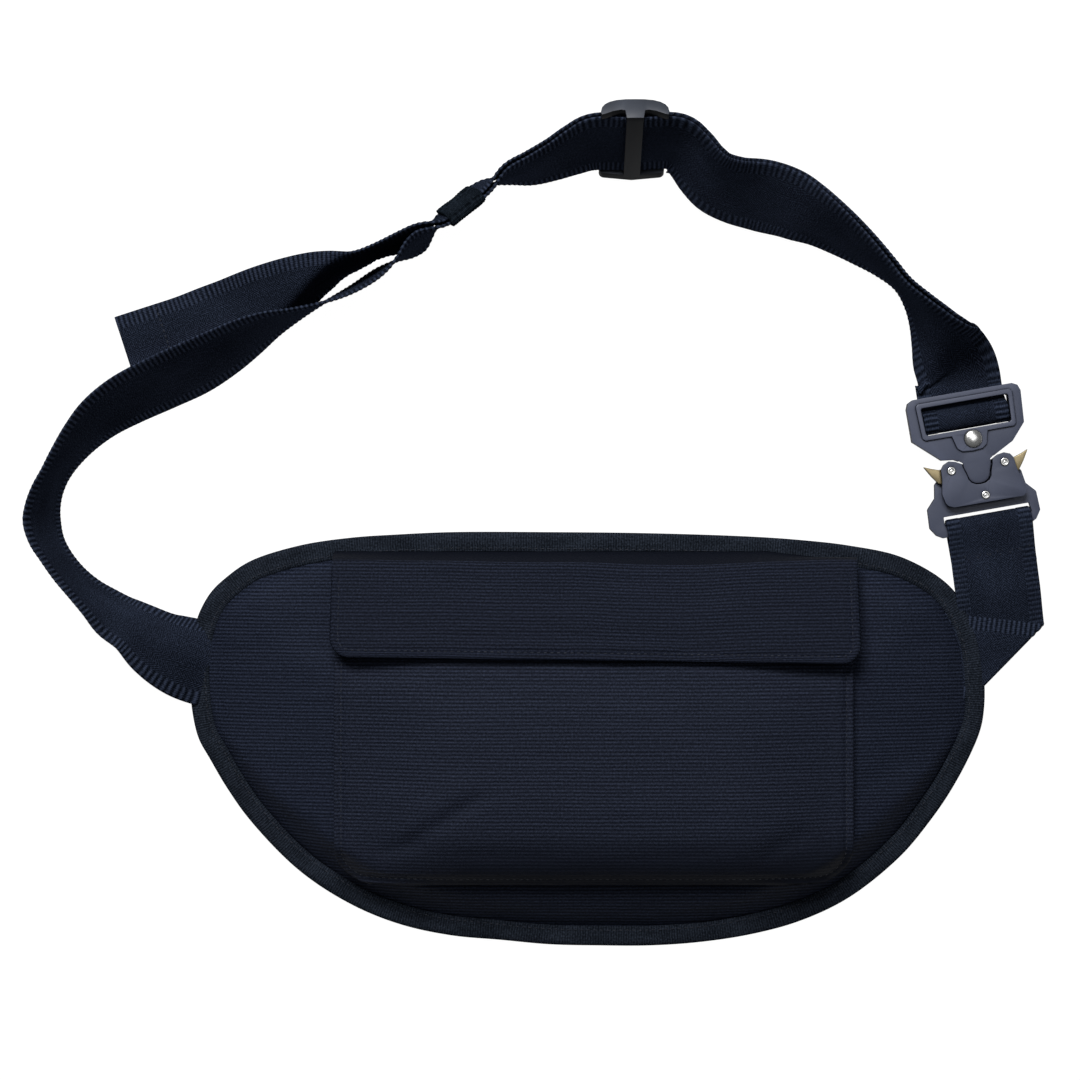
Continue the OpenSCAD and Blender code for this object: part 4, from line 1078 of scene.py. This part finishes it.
def flap_grid(dz=0.0, inset=0.0, with_riser=True, xs_n=150):
    """Grid of the flap's outer face, from the riser's foot to the front edge."""
    us = np.concatenate([[0, 0.003, 0.007, 0.011, 0.0155, 0.020, 0.026], np.linspace(0.033, 0.967, xs_n), [0.974, 0.980, 0.9845, 0.989, 0.993, 0.997, 1]])
    w = np.concatenate([np.linspace(0.06, 0.74, 24), [0.77, 0.80, 0.825, 0.85, 0.872, 0.892, 0.908, 0.922, 0.936, 0.950, 0.964, 0.977, 0.989, 1.0]])
    rows = []
    # riser and rounded fold, in (y offset from the fold, z offset from the fold plane's height)
    rise = [(6.2, -14.1), (5.9, -12.6), (5.5, -11.0), (5.1, -9.4), (4.7, -7.8), (4.3, -6.2), (3.9, -4.7), (3.45, -3.3), (2.9, -2.0), (2.2, -0.95), (1.35, -0.2), (0.4, 0.35), (-0.7, 0.75), (-1.7, 1.05)]
    U = us
    x = FX0 + inset + (FX1 - FX0 - 2 * inset) * U
    sagv = 3.6 * gauss(x - 36, 46) + 1.2 * gauss(x + 40, 60)
    if with_riser:
        for k, (dy, dz_) in enumerate(rise):
            kk = k / (len(rise) - 1)
            foot = 83.9 - np.maximum(x - 80, 0) * 0.12
            y = FOLD_Y + dy - sagv * sstep(0, 0.85, kk)
            y = y * 1.0 + (foot - (FOLD_Y + rise[0][0])) * (1 - sstep(0, 0.6, kk))
            z = FOLD_Z + dz_ - 0.10 * sagv * sstep(0.2, 0.9, kk) + dz
            z = z + 0.35 * value_noise(x, 0 * x + k * 1.3, 101, 21) * sstep(0.1, 0.6, kk)
            y = y + 0.5 * value_noise(x, 0 * x + k * 0.8, 103, 26) * math.sin(PI * min(1, kk))
            rows.append(np.stack([x, y, z + 0 * x], -1))
    for ww in w:
        for _ in range(1):
            L = flap_len(x) - inset
            q = L * (1 - ww)
            c = flap_corner(q)
            xx = (FX0 + inset + c) + (FX1 - FX0 - 2 * inset - 2 * c) * U
            s = ww * (flap_len(xx) - inset)
        y = FOLD_Y - s * math.cos(SLOPE) - sagv * (1 - sstep(0.0, 0.55, ww))
        zl = FOLD_Z + s * math.sin(SLOPE) + 0.8 / math.cos(SLOPE) + dz - 0.25 * sagv * (1 - sstep(0, 0.6, ww))
        rows.append(np.stack([xx, y, zl], -1))
    return np.array(rows), len(rise) if with_riser else 0


def flap():
    G, nr = flap_grid()
    X, Y, Z = G[..., 0], G[..., 1], G[..., 2]
    front = (FOLD_Y - flap_len(X) * math.cos(SLOPE))
    q = (Y - front) / math.cos(SLOPE)
    e = np.minimum.reduce([X - FX0, FX1 - X, q])
    for sx, cx in ((-1, FX0 + FRAD), (1, FX1 - FRAD)):
        inside = (sx * (X - cx) > 0) & (q < FRAD)
        e = np.where(inside, FRAD - np.hypot(X - cx, q - FRAD), e)
    e = np.maximum(e, 0)
    fl = np.zeros(G.shape[:2])
    fl[nr:] = 1
    on = fl * sstep(0.0, 6.0, np.where(fl > 0, (FOLD_Y - Y), 0))
    Z = Z + fl * (-0.5 * gauss(e - 3.5, 0.9) * sstep(-1, 3, FOLD_Y - Y) + 0.28 * gauss(e - 1.6, 1.2) - 0.75 * np.exp(-e / 0.45))
    Z = Z + on * (0.45 * value_noise(X, Y * 1.5, 111, 40) + 0.18 * value_noise(X, Y, 113, 13))
    # soft ripples above the front stitching and a light swell in the middle
    Z = Z + on * (0.45 * gauss(q - 6.8, 2.0) * sstep(-75, -40, X) * (1 - sstep(30, 60, X)) - 0.45 * gauss(q - 10.5, 2.6) * sstep(-75, -40, X) * (1 - sstep(30, 60, X)))
    Z = Z + on * (0.5 * value_noise(X, q * 0.2, 117, 8.5) * gauss(q - 6, 3.5) * 0.5)
    Z = Z + on * 0.9 * np.sin(PI * np.clip(q / 44, 0, 1)) * 0.7
    # the top line isn't dead straight
    G = np.stack([X, Y, Z], -1)
    s = np.concatenate([np.zeros((1, G.shape[1])), np.cumsum(np.linalg.norm(np.diff(G, axis=0), axis=2), axis=0)])
    uv = np.stack([X, -s], -1)
    th = 0.95 + 0.55 * np.exp(-e / 2.0) * fl
    ob = skin("flap_cloth", G, uv, th)
    paint(ob, "flap")
    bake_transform(ob)
    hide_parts("flap_riser", "flap_outer")
    # stitches on three sides
    from mathutils.bvhtree import BVHTree
    dg = bpy.context.evaluated_depsgraph_get()
    tree = BVHTree.FromObject(ob, dg)
    d = 3.5
    cy = math.cos(SLOPE)
    yl, yr = FOLD_Y - FL * cy, FOLD_Y - FR * cy
    r = FRAD
    line = [(FX0 + d, y) for y in np.linspace(71.5, yl + r * cy, 26)]
    line += [(FX0 + r - (r - d) * math.cos(a), yl + 0.1 + (r - (r - d) * math.sin(a)) * cy) for a in np.linspace(0, PI / 2, 10)]
    line += [(x, FOLD_Y - (FL + (FR - FL) * (x - FX0) / (FX1 - FX0) - d) * cy) for x in np.linspace(FX0 + r + 1, FX1 - r - 1, 150)]
    line += [(FX1 - r + (r - d) * math.sin(a), yr + (r - (r - d) * math.cos(a)) * cy) for a in np.linspace(0, PI / 2, 10)]
    line += [(FX1 - d, y) for y in np.linspace(yr + r * cy, 71.5, 26)]
    pts, ups = drop_on(tree, line)
    stitches("flap_stitches", pts, ups, body="flap", pitch=2.9, length=2.1, r=0.27, sink=0.03)
    # lining below
    Gl, _ = flap_grid(dz=-1.25, inset=1.3, with_riser=False, xs_n=90)
    Gl = Gl[2:]
    Gl[..., 2] += 0.1 * value_noise(Gl[..., 0], Gl[..., 1], 121, 16)
    uv = Gl[..., :2]
    li = skin("flap_lining_cloth", Gl, uv, 0.45)
    place(li, "lining", "flap")
    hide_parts("flap_lining")


flap()

# ---------------------------------------------------------------- belt webbing
WEB_W, WEB_T, GAP = 38.0, 1.4, 2.2
MAIN = [(-168, 33, 0, 1.8), (-172, 34.2, 6, 1.7), (-179.6, 37.4, 22, 1.4), (-189.4, 43, 41, 1.2), (-198.4, 49.8, 57, 1), (-207, 55, 63, 1), (-214, 61, 71, 1), (-221, 67, 77, 1), (-228, 74, 80, 1),
        (-234, 82, 81, 1), (-238, 89, 79.5, 1), (-240, 97, 78, 1), (-239.5, 104, 80, 1), (-237.5, 111, 82, 1), (-234, 118, 83, 1), (-229, 126, 80, 1), (-222, 135, 74, 1),
        (-214, 143, 67, 1), (-203, 150.5, 61, 1), (-188, 158, 58, 1), (-174, 164.5, 58, 1), (-161, 171.5, 63, 1), (-150, 178, 70, 1), (-140, 183.5, 79, 1), (-129, 188, 89, 1),
        (-117, 193, 97, 1), (-104, 199, 102, 1.1), (-92, 206.5, 103, 1.4), (-84, 212.2, 96, 1.7), (-78.5, 216.4, 87, 1.9), (-73.5, 220.2, 85, 2.1), (-68.5, 224.2, 94, 2.1), (-64.5, 227.4, 102, 2.1),
        (-60, 231, 104, 2.1), (-45, 243, 104, 2.1), (-35, 248.4, 89, 2.1), (-25, 251, 80, 2.6), (-15, 254.8, 74, 3.6), (-6, 259, 68, 5), (2, 262, 64, 6.2), (19.5, 262, 64, 6.2), (38.4, 262, 64, 6.2),
        (44, 257.2, 62, 5.4), (49.5, 250.4, 60, 4.4), (55.6, 245.2, 57, 3.6), (64.5, 241.8, 53, 3.2), (76.7, 239.7, 47.5, 3), (86.4, 236.7, 50, 3), (94.6, 232.4, 57, 3), (102.6, 227.8, 66, 2.8),
        (111.4, 221.8, 73.5, 2.6), (120.4, 215, 81, 2.6), (129.4, 207.6, 88.5, 2.6)]
FLEX = [(137.1, 200.2, 92.5, 2.6), (143.2, 192.8, 86.5, 2.6), (148.2, 185.6, 76, 2.6), (152.6, 178.6, 62, 2.8), (156.8, 172.6, 43, 3), (160.6, 168.6, 22, 3), (163.6, 165.1, 7, 3),
        (165.2, 161.3, 1, 3), (166.0, 156.6, 0, 3.0), (166.8, 152.1, 0, 3.0)]
# the loose tail, by its upper edge: x, y of that edge, tilt there, height of the lower edge
TAIL = [(-211.2, 188.4, 2, 2.4), (-198, 192.6, 3, 2.1), (-184.3, 197, 5, 1.6), (-172, 201.7, 7, 1.2), (-161.6, 205.3, 8, 1), (-149, 209.0, 9, 1), (-138.2, 211.5, 10, 1), (-128, 213.3, 11, 1),
        (-120.2, 214.1, 12, 1), (-112, 214.0, 14, 1), (-107, 213.4, 26, 1), (-103.5, 213.0, 62, 1), (-100, 213.4, 82, 1.1), (-95, 215.2, 86, 1.3), (-90, 217.5, 86, 1.4), (-84.5, 220.3, 84, 1.6),
        (-78.6, 223.2, 83, 1.9), (-73, 225.6, 86, 2.1), (-68, 227.9, 95, 2.1), (-64, 229.6, 102, 2.1), (-58, 234.4, 104, 2.1)]
KEEP = 29
VPOS = np.array([-19, -18.75, -18.2, -17.2, -16, -14.8, -13.7, -12.9, -12.3, -10, -7, -3.5, 0, 3.5, 7, 10, 12.3, 12.9, 13.7, 14.8, 16, 17.2, 18.2, 18.75, 19])


def belt_surface(S, step=0.55, skew=None, off=0.0, by_edge=False, tilt_map=None):
    """Centre surface of the webbing through the stations: grid (along, across)."""
    C = catmull(np.array(S, float), 1.0)
    C, s = resample(C, step)
    tilt = np.radians(C[:, 2])
    d = np.gradient(C[:, :2], axis=0)
    d = unit(d)
    n = np.stack([-d[:, 1], d[:, 0]], 1)
    k = np.zeros(len(s)) if skew is None else skew(C, s)
    vf = np.linspace(-19, 19, 77)
    # tilt at (s - k v): folds run obliquely across the webbing where k isn't 0
    T = np.interp((s[:, None] - k[:, None] * (vf[None, :] - (19 if by_edge else 0))), s, tilt)
    if tilt_map is not None:
        T = np.radians(tilt_map(C, s, vf))
    dv = vf[1] - vf[0]
    cs, sn = np.cos(T), np.sin(T)
    ic = np.concatenate([np.zeros((len(s), 1)), np.cumsum((cs[:, 1:] + cs[:, :-1]) / 2 * dv, 1)], 1)
    isn = np.concatenate([np.zeros((len(s), 1)), np.cumsum((sn[:, 1:] + sn[:, :-1]) / 2 * dv, 1)], 1)
    mid = ic[:, -1:] if by_edge else ic[:, 38:39]
    ic = ic - mid
    P = np.zeros((len(s), len(vf), 3))
    P[..., :2] = C[:, None, :2] + ic[..., None] * n[:, None, :]
    P[..., 2] = C[:, 3:4] + isn
    # only the stations' own places, sampled at VPOS
    out = np.zeros((len(s), len(VPOS), 3))
    for c in range(3):
        out[..., c] = np.stack([np.array([np.interp(v, vf, P[i, :, c]) for v in VPOS]) for i in range(len(s))])
    if off:
        N = unit(np.cross(np.gradient(out, axis=0), np.gradient(out, axis=1)))
        out = out + N * off
    return out, s


def ribbon(name, P, s, key="webbing", ladder=True, edge_round=True, vp=VPOS):
    """Webbing of real thickness about the surface P, with the woven ladder along both edges."""
    N = unit(np.cross(np.gradient(P, axis=0), np.gradient(P, axis=1)))
    v = np.broadcast_to(vp, P.shape[:2])
    ss = s[:, None] + 0 * v
    band = sstep(12.4, 13.3, np.abs(v)) * (1 - sstep(18.2, 19.0, np.abs(v)))
    rib = 0.5 + 0.5 * np.cos(2 * PI * ss / 2.2)
    h = band * (0.30 * rib - 0.10) * ladder
    h = h - 0.10 * gauss(np.abs(v) - 12.6, 0.5)
    half = WEB_T / 2 * np.sqrt(np.clip(1 - (np.maximum(np.abs(v) - 18.2, 0) / 0.9) ** 2, 0.05, 1)) if edge_round else WEB_T / 2 + 0 * ss
    half = half - 0.05
    top = P + N * (half + h)[..., None]
    bot = P - N * (half + h)[..., None]
    ob = shell(name, top, bot, np.stack([ss, v], -1))
    paint(ob, key)
    return ob


def face_path(P, N, v, i0, i1, lift):
    k = int(np.argmin(np.abs(VPOS - v)))
    return P[i0:i1, k] + N[i0:i1, k] * lift, N[i0:i1, k] * (1 if lift > 0 else -1)


def tail_tilt(C, s, vf):
    """Tilt over the tail: nearly flat up to an oblique fold, then a steep wall that turns into the keeper."""
    x = C[:, 0]
    flat = np.interp(x, [-211, -184, -150, -110], [2, 5, 9, 13])
    steep = np.interp(x, [-211, -122, -114, -107, -101, -95, -90, -84.5, -78.6, -73, -68, -64, -58], [74, 75, 79, 84, 87, 89, 88, 85, 83, 86, 95, 102, 104])
    sc = float(np.interp(-103.5, x, s))
    w = sstep(-6, 5, s[:, None] + 1.6 * (19 - vf[None, :]) - sc)
    return flat[:, None] * (1 - w) + steep[:, None] * w


def main_skew(C, s):
    x, y = C[:, 0], C[:, 1]
    return 0.0 * x


Pm, sm = belt_surface(MAIN + FLEX, skew=main_skew)
main = ribbon("belt_main", Pm, sm)
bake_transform(main)
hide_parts("strap_main", "strap_flex")

# the return layer follows the tail, then lies behind the main layer
Pr_full, sr_full = belt_surface(MAIN + FLEX, off=-GAP)
i0 = int(np.argmin(np.hypot(Pr_full[:, 12, 0] + 76.2, Pr_full[:, 12, 1] - 220.4)))


def return_surface():
    tail, ts = belt_surface(TAIL, by_edge=True, tilt_map=tail_tilt)
    # cut where the tail meets the doubled run, then cross-fade over a short length
    j0 = int(np.argmin(np.hypot(tail[:, 12, 0] - Pr_full[i0, 12, 0], tail[:, 12, 1] - Pr_full[i0, 12, 1])))
    a = tail[:j0]
    b = Pr_full[i0:]
    k = 20
    w = sstep(0, 1, np.linspace(0, 1, k))[:, None, None]
    ext = tail[j0:j0 + k]
    kk = min(k, len(ext))
    b = b.copy()
    b[:kk] = ext[:kk] * (1 - w[:kk]) + b[:kk] * w[:kk]
    P = np.concatenate([a, b])
    s = np.concatenate([[0], np.cumsum(np.linalg.norm(np.diff(P[:, 12], axis=0), axis=1))])
    return P, s


Pr, sr = return_surface()
ret = ribbon("belt_return", Pr, sr)
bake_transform(ret)
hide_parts("strap_return")
Nr = unit(np.cross(np.gradient(Pr, axis=0), np.gradient(Pr, axis=1)))
# hem of the loose end
hem_i = int(np.argmin(np.abs(sr - 19)))
hem = Pr[hem_i] + Nr[hem_i] * 0.82
stitches("tail_hem_stitches", hem[2:-2], Nr[hem_i][2:-2], pitch=2.6, length=1.9, r=0.3, sink=0.0)
hw = (Pr[:hem_i + 2] - Nr[:hem_i + 2] * 1.25)
hem_layer = ribbon("tail_hem_layer", hw, sr[:hem_i + 2])
place(hem_layer, "webbing", "bag")

# ---------------------------------------------------------------- buckle frame
BA = math.radians(9.9)


def at_buckle(P):
    P = np.asarray(P, float)
    c, s = math.cos(BA), math.sin(BA)
    return np.stack([171 + P[..., 0] * c - P[..., 1] * s, 134 + P[..., 0] * s + P[..., 1] * c, P[..., 2]], -1)


def profile_ribbon(name, prof, xc, step=0.5):
    """Webbing whose centre line is a curve in the buckle's local YZ plane, drawn across X."""
    Q = catmull(np.array([(y, z) for y, z in prof], float), 0.4)
    s = np.concatenate([[0], np.cumsum(np.linalg.norm(np.diff(Q, axis=0), axis=1))])
    t = np.linspace(0, s[-1], int(s[-1] / step) + 1)
    y = np.interp(t, s, Q[:, 0])
    z = np.interp(t, s, Q[:, 1])
    P = np.zeros((len(t), len(VPOS), 3))
    P[..., 0] = xc + VPOS
    P[..., 1] = y[:, None]
    P[..., 2] = z[:, None]
    return at_buckle(P), t


BAR_Y, BAR_Z = 11.3, 5.2
end_prof = [(20.5, 1.1), (18, 1.1), (14, 1.25), (10.5, 1.35), (8, 1.75), (6.1, 3.0), (5.55, 4.7), (6.1, 6.5), (7.8, 7.75), (10.5, 8.25), (12.7, 7.8), (14.2, 6.1), (15.8, 4.25), (18, 3.05), (20.5, 3.05)]
Pe, te = profile_ribbon("end", end_prof, -1)
end = ribbon("belt_end_loop", Pe, te)
place(end, "webbing", "buckle_male")
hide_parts("strap_end_loop")


# ---------------------------------------------------------------- stub: webbing folded round the slot bar, then diagonally, then behind the bag
def stub():
    back = [(-58, 0.95), (-46, 0.95)] + [(-39.2 + 4.8 * math.cos(math.radians(a)), 3.6 + 2.75 * math.sin(math.radians(a))) for a in range(-100, 101, 20)] + [(-44.5, 5.6), (-52, 4.1), (-60, 3.5), (-68, 3.4)]
    Q = catmull(np.array(back, float), 0.4)
    Q = np.vstack([Q, [[y, 3.4 - 2.45 * float(sstep(-68, -87, y))] for y in np.arange(-68.5, -146, -0.5)]])
    s = np.concatenate([[0], np.cumsum(np.linalg.norm(np.diff(Q, axis=0), axis=1))])
    t = np.arange(0, s[-1], 0.34)
    y = np.interp(t, s, Q[:, 0])
    z = np.interp(t, s, Q[:, 1])
    vp = np.unique(np.round(np.concatenate([VPOS, np.arange(-18, 18.1, 0.45)]), 2))
    P = np.zeros((len(t), len(vp), 3))
    P[..., 0] = 1.4 + vp
    P[..., 1] = y[:, None]
    P[..., 2] = z[:, None]
    # the band drifts a little to the left on its way down
    P[..., 0] -= np.where(t > 30, 1.75 * np.clip((-40 - y) / 46, 0, 2.2), 0)[:, None]
    # fold over the diagonal line through a and b, back over the upper band
    a, b = np.array([-21.6, -114.6]), np.array([18.4, -85.8])
    d = unit(b - a)
    nrm = np.array([d[1], -d[0]])
    e = (P[..., 0] - a[0]) * nrm[0] + (P[..., 1] - a[1]) * nrm[1]
    # a soft curl of radius r
    r = 0.78
    m = (t > 40)[:, None] & (e > 0)
    arc = e < PI * r
    ee = np.where(arc, r * np.sin(np.clip(e, 0, PI * r) / r), -(e - PI * r))
    zz = np.where(arc, r - r * np.cos(np.clip(e, 0, PI * r) / r), 2 * r)
    shift = np.where(m, ee - e, 0)
    P[..., 0] += shift * nrm[0]
    P[..., 1] += shift * nrm[1]
    P[..., 2] += np.where(m, zz, 0)
    # the upper band gets a light sway, growing towards the fold
    P[..., 2] += np.where((t > 40)[:, None] & ~m, 0.18 * value_noise(P[..., 0], P[..., 1], 131, 14) * sstep(-60, -68, P[..., 1] * 1.0), 0)
    W = at_buckle(P)
    ob = ribbon("belt_stub", W, t, ladder=np.where(t > 94, 0.4, 1.0)[:, None], vp=vp)
    place(ob, "webbing", "bag")
    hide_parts("strap_stub")
    # zigzag of stitches through both layers
    zz = []
    xs = np.linspace(-15.6, 18.4, 15)
    for i, x in enumerate(xs):
        zz.append((x, -48.6 if i % 2 else -53.2, 4.95 if i % 2 else 4.55))
    zz = at_buckle(np.array(zz))
    pts = np.concatenate([zz[i] + (zz[i + 1] - zz[i]) * np.linspace(0, 1, 6)[:, None] for i in range(len(zz) - 1)])
    stitches("stub_zigzag_stitches", pts, np.tile([0, 0, 1.0], (len(pts), 1)), pitch=2.4, length=1.9, r=0.3, sink=0.05)
    for yy, zc in ((-46.4, 5.45),):
        row = at_buckle(np.array([(x, yy, zc) for x in np.linspace(-15.8, 18.6, 40)]))
        stitches("stub_row_stitches_%d" % int(-yy), row, np.tile([0, 0, 1.0], (len(row), 1)), pitch=2.4, length=1.8, r=0.28, sink=0.05)


stub()


# ---------------------------------------------------------------- keeper: elastic band round both layers
def keeper():
    a = math.atan2(4, 5)
    ca, sa = math.cos(a), math.sin(a)
    tl = math.radians(104)
    ct, st = math.cos(tl), math.sin(tl)
    zc = 2.1 + 19 * math.sin(tl)
    n = 96
    ang = np.linspace(0, 2 * PI, n, endpoint=False)

    def ring(hw, ht, p=0.38):
        y = np.sign(np.sin(ang)) * np.abs(np.sin(ang)) ** p * hw
        z = np.sign(np.cos(ang)) * np.abs(np.cos(ang)) ** p * ht
        return y, z - GAP / 2

    xs = np.concatenate([[-9, -8.9, -8.5], np.linspace(-8, 8, 25), [8.5, 8.9, 9]])
    out, inn, U = [], [], []
    for x in xs:
        lip = 0.35 * np.exp(-(9 - abs(x)) / 0.5)
        wav = 0.22 * value_noise(ang * 9, 0 * ang + x, 141, 5) + 0.12 * math.sin(2 * PI * x / 1.5)
        y, z = ring(20.5 - lip, 3.6 - lip)
        nrm_y, nrm_z = y / 20.5, (z + GAP / 2) / 3.6
        out.append(np.stack([np.full(n, x), y + nrm_y * wav * 0.3, z + nrm_z * wav], -1))
        y, z = ring(19.45, 2.55)
        inn.append(np.stack([np.full(n, x), y, z], -1))
        U.append(np.stack([np.full(n, x), ang * 8.0], -1))
    O, I, U = np.array(out), np.array(inn), np.array(U)

    def world(P):
        X, Y, Z = P[..., 0], P[..., 1], P[..., 2]
        y1 = Y * ct - Z * st
        z1 = Y * st + Z * ct
        return np.stack([-55.4 + X * ca - y1 * sa, 234.68 + X * sa + y1 * ca, zc + z1], -1)

    ob = shell("keeper_loop", world(O), world(I), np.stack([U[..., 1], U[..., 0]], -1), wrap_j=True)
    place(ob, "elastic", "keeper_band")
    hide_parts("keeper")


keeper()

# ---------------------------------------------------------------- hard parts
for nm, key, w, sg in (("tri_glide", "plastic", 0.5, 3), ("male_plate", "buckle", 0.55, 3), ("male_bezel", "bezel", 0.42, 4), ("male_bar", "buckle", 0.2, 2),
                       ("base_plate", "buckle", 0.4, 3), ("cover_plate", "buckle", 0.38, 3), ("lever_left", "lever", 0.4, 3), ("lever_right", "lever", 0.4, 3)):
    bevel(paint(frame["nodes"][nm], key), w, sg, 34, True)


def rivets():
    dome = [(0.0001, 3.3), (2.6, 3.3), (2.6, 3.9), (1.5, 4.0), (1.5, 8.6), (2.6, 8.9), (3.55, 9.0), (3.82, 9.15), (3.86, 9.35)]
    for a in np.linspace(18, 88, 12):
        R = 5.27
        dome.append((R * math.cos(math.radians(a)) * 0.78, 9.05 - 3.6 + 0.0 + R * (0.68 + 0.32 * math.sin(math.radians(a)))))
    dome = [(r, min(z, 10.72)) for r, z in dome]
    V, F = lathe(dome, 48)
    ob = recalc(mesh("dome_rivet_head", at_buckle(V), F))
    smooth_edges(ob)
    place(ob, "rivet", "buckle_male")
    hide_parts("dome_rivet")
    small = [(0.0001, 1.4), (1.8, 1.4), (1.8, 2.1), (1.18, 2.15), (1.18, 9.1), (1.7, 9.15), (1.82, 9.3), (1.8, 9.5), (1.62, 9.68), (1.35, 9.72), (1.16, 9.66), (1.05, 9.45), (0.9, 9.38), (0.62, 9.4), (0.5, 9.55), (0.3, 9.6), (0.0001, 9.6)]
    parts = []
    for x, y in ((-12, -12.6), (12, -12.6), (1.2, -25.6)):
        V, F = lathe(small, 32)
        parts.append((at_buckle(V + [x, y, 0]), F))
    V, F = join_parts(parts)
    ob = recalc(mesh("cover_rivets", V, F))
    smooth_edges(ob)
    place(ob, "rivet", "bag")
    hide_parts("buckle_rivets")
    # coil spring between the lever tails
    t = np.linspace(0, 1, 15 * 18)
    x = -7.7 + 15.4 * t
    an = 2 * PI * 15 * t
    C = np.stack([x, -22.3 + 0.8 * np.cos(an), 5.9 + 0.8 * np.sin(an)], 1)
    T = unit(np.gradient(C, axis=0))
    R1 = unit(np.stack([0 * x, np.cos(an), np.sin(an)], 1))
    R2 = np.cross(T, R1)
    V = np.concatenate([[C[i] + 0.2 * (math.cos(b) * R1[i] + math.sin(b) * R2[i]) for b in np.linspace(0, 2 * PI, 7)[:-1]] for i in range(len(C))])
    F = grid_faces(len(C), 6, wrap_j=True)
    F.append([5, 4, 3, 2, 1, 0])
    F.append([(len(C) - 1) * 6 + j for j in range(6)])
    ob = recalc(mesh("lever_coil", at_buckle(V), F))
    place(ob, "spring", "bag")
    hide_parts("lever_springs")


rivets()

# =====================================================================
# stage: pale floor, soft light, camera
# =====================================================================
fl = mesh("floor", np.array([[-3000, -3000, -0.4], [3000, -3000, -0.4], [3000, 3000, -0.4], [-3000, 3000, -0.4]], float), [[0, 1, 2, 3]])
fm = bpy.data.materials.new("floor_paper")
fm.use_nodes = True
fb = fm.node_tree.nodes["Principled BSDF"]
fb.inputs["Base Color"].default_value = (0.08, 0.08, 0.08, 1)
fb.inputs["Roughness"].default_value = 0.9
fb.inputs["Specular IOR Level"].default_value = 0.1
fb.inputs["Emission Color"].default_value = (1, 1, 1, 1)
fb.inputs["Emission Strength"].default_value = 0.99
fl.data.materials.append(fm)

scene = bpy.context.scene
scene.view_settings.view_transform = "Standard"
world = bpy.data.worlds.new("studio")
scene.world = world
world.use_nodes = True
bg = world.node_tree.nodes["Background"]
bg.inputs["Color"].default_value = (0.95, 0.97, 1.0, 1)
bg.inputs["Strength"].default_value = 0.08


def area(name, loc, target, size, power, color=(1, 1, 1)):
    L = bpy.data.lights.new(name, "AREA")
    L.shape = "RECTANGLE"
    L.size, L.size_y = size
    L.energy = power
    L.color = color
    o = bpy.data.objects.new(name, L)
    o.location = loc
    o.rotation_euler = (Vector(target) - Vector(loc)).to_track_quat("-Z", "Y").to_euler()
    scene.collection.objects.link(o)


area("key", (-0.32, 1.08, 1.34), (0.0, 0.05, 0), (0.8, 0.6), 42.0)
area("soft_top", (0.40, 0.35, 1.6), (0.0, 0.05, 0), (0.8, 0.8), 5.0)

cam = bpy.data.cameras.new("camera")
cam.lens = 74.4
cam.sensor_width = 36
cam.clip_start = 0.01
co = bpy.data.objects.new("camera", cam)
co.location = (-0.0213, 0.0889, 1.0)
scene.collection.objects.link(co)
scene.camera = co

bpy.context.view_layer.update()
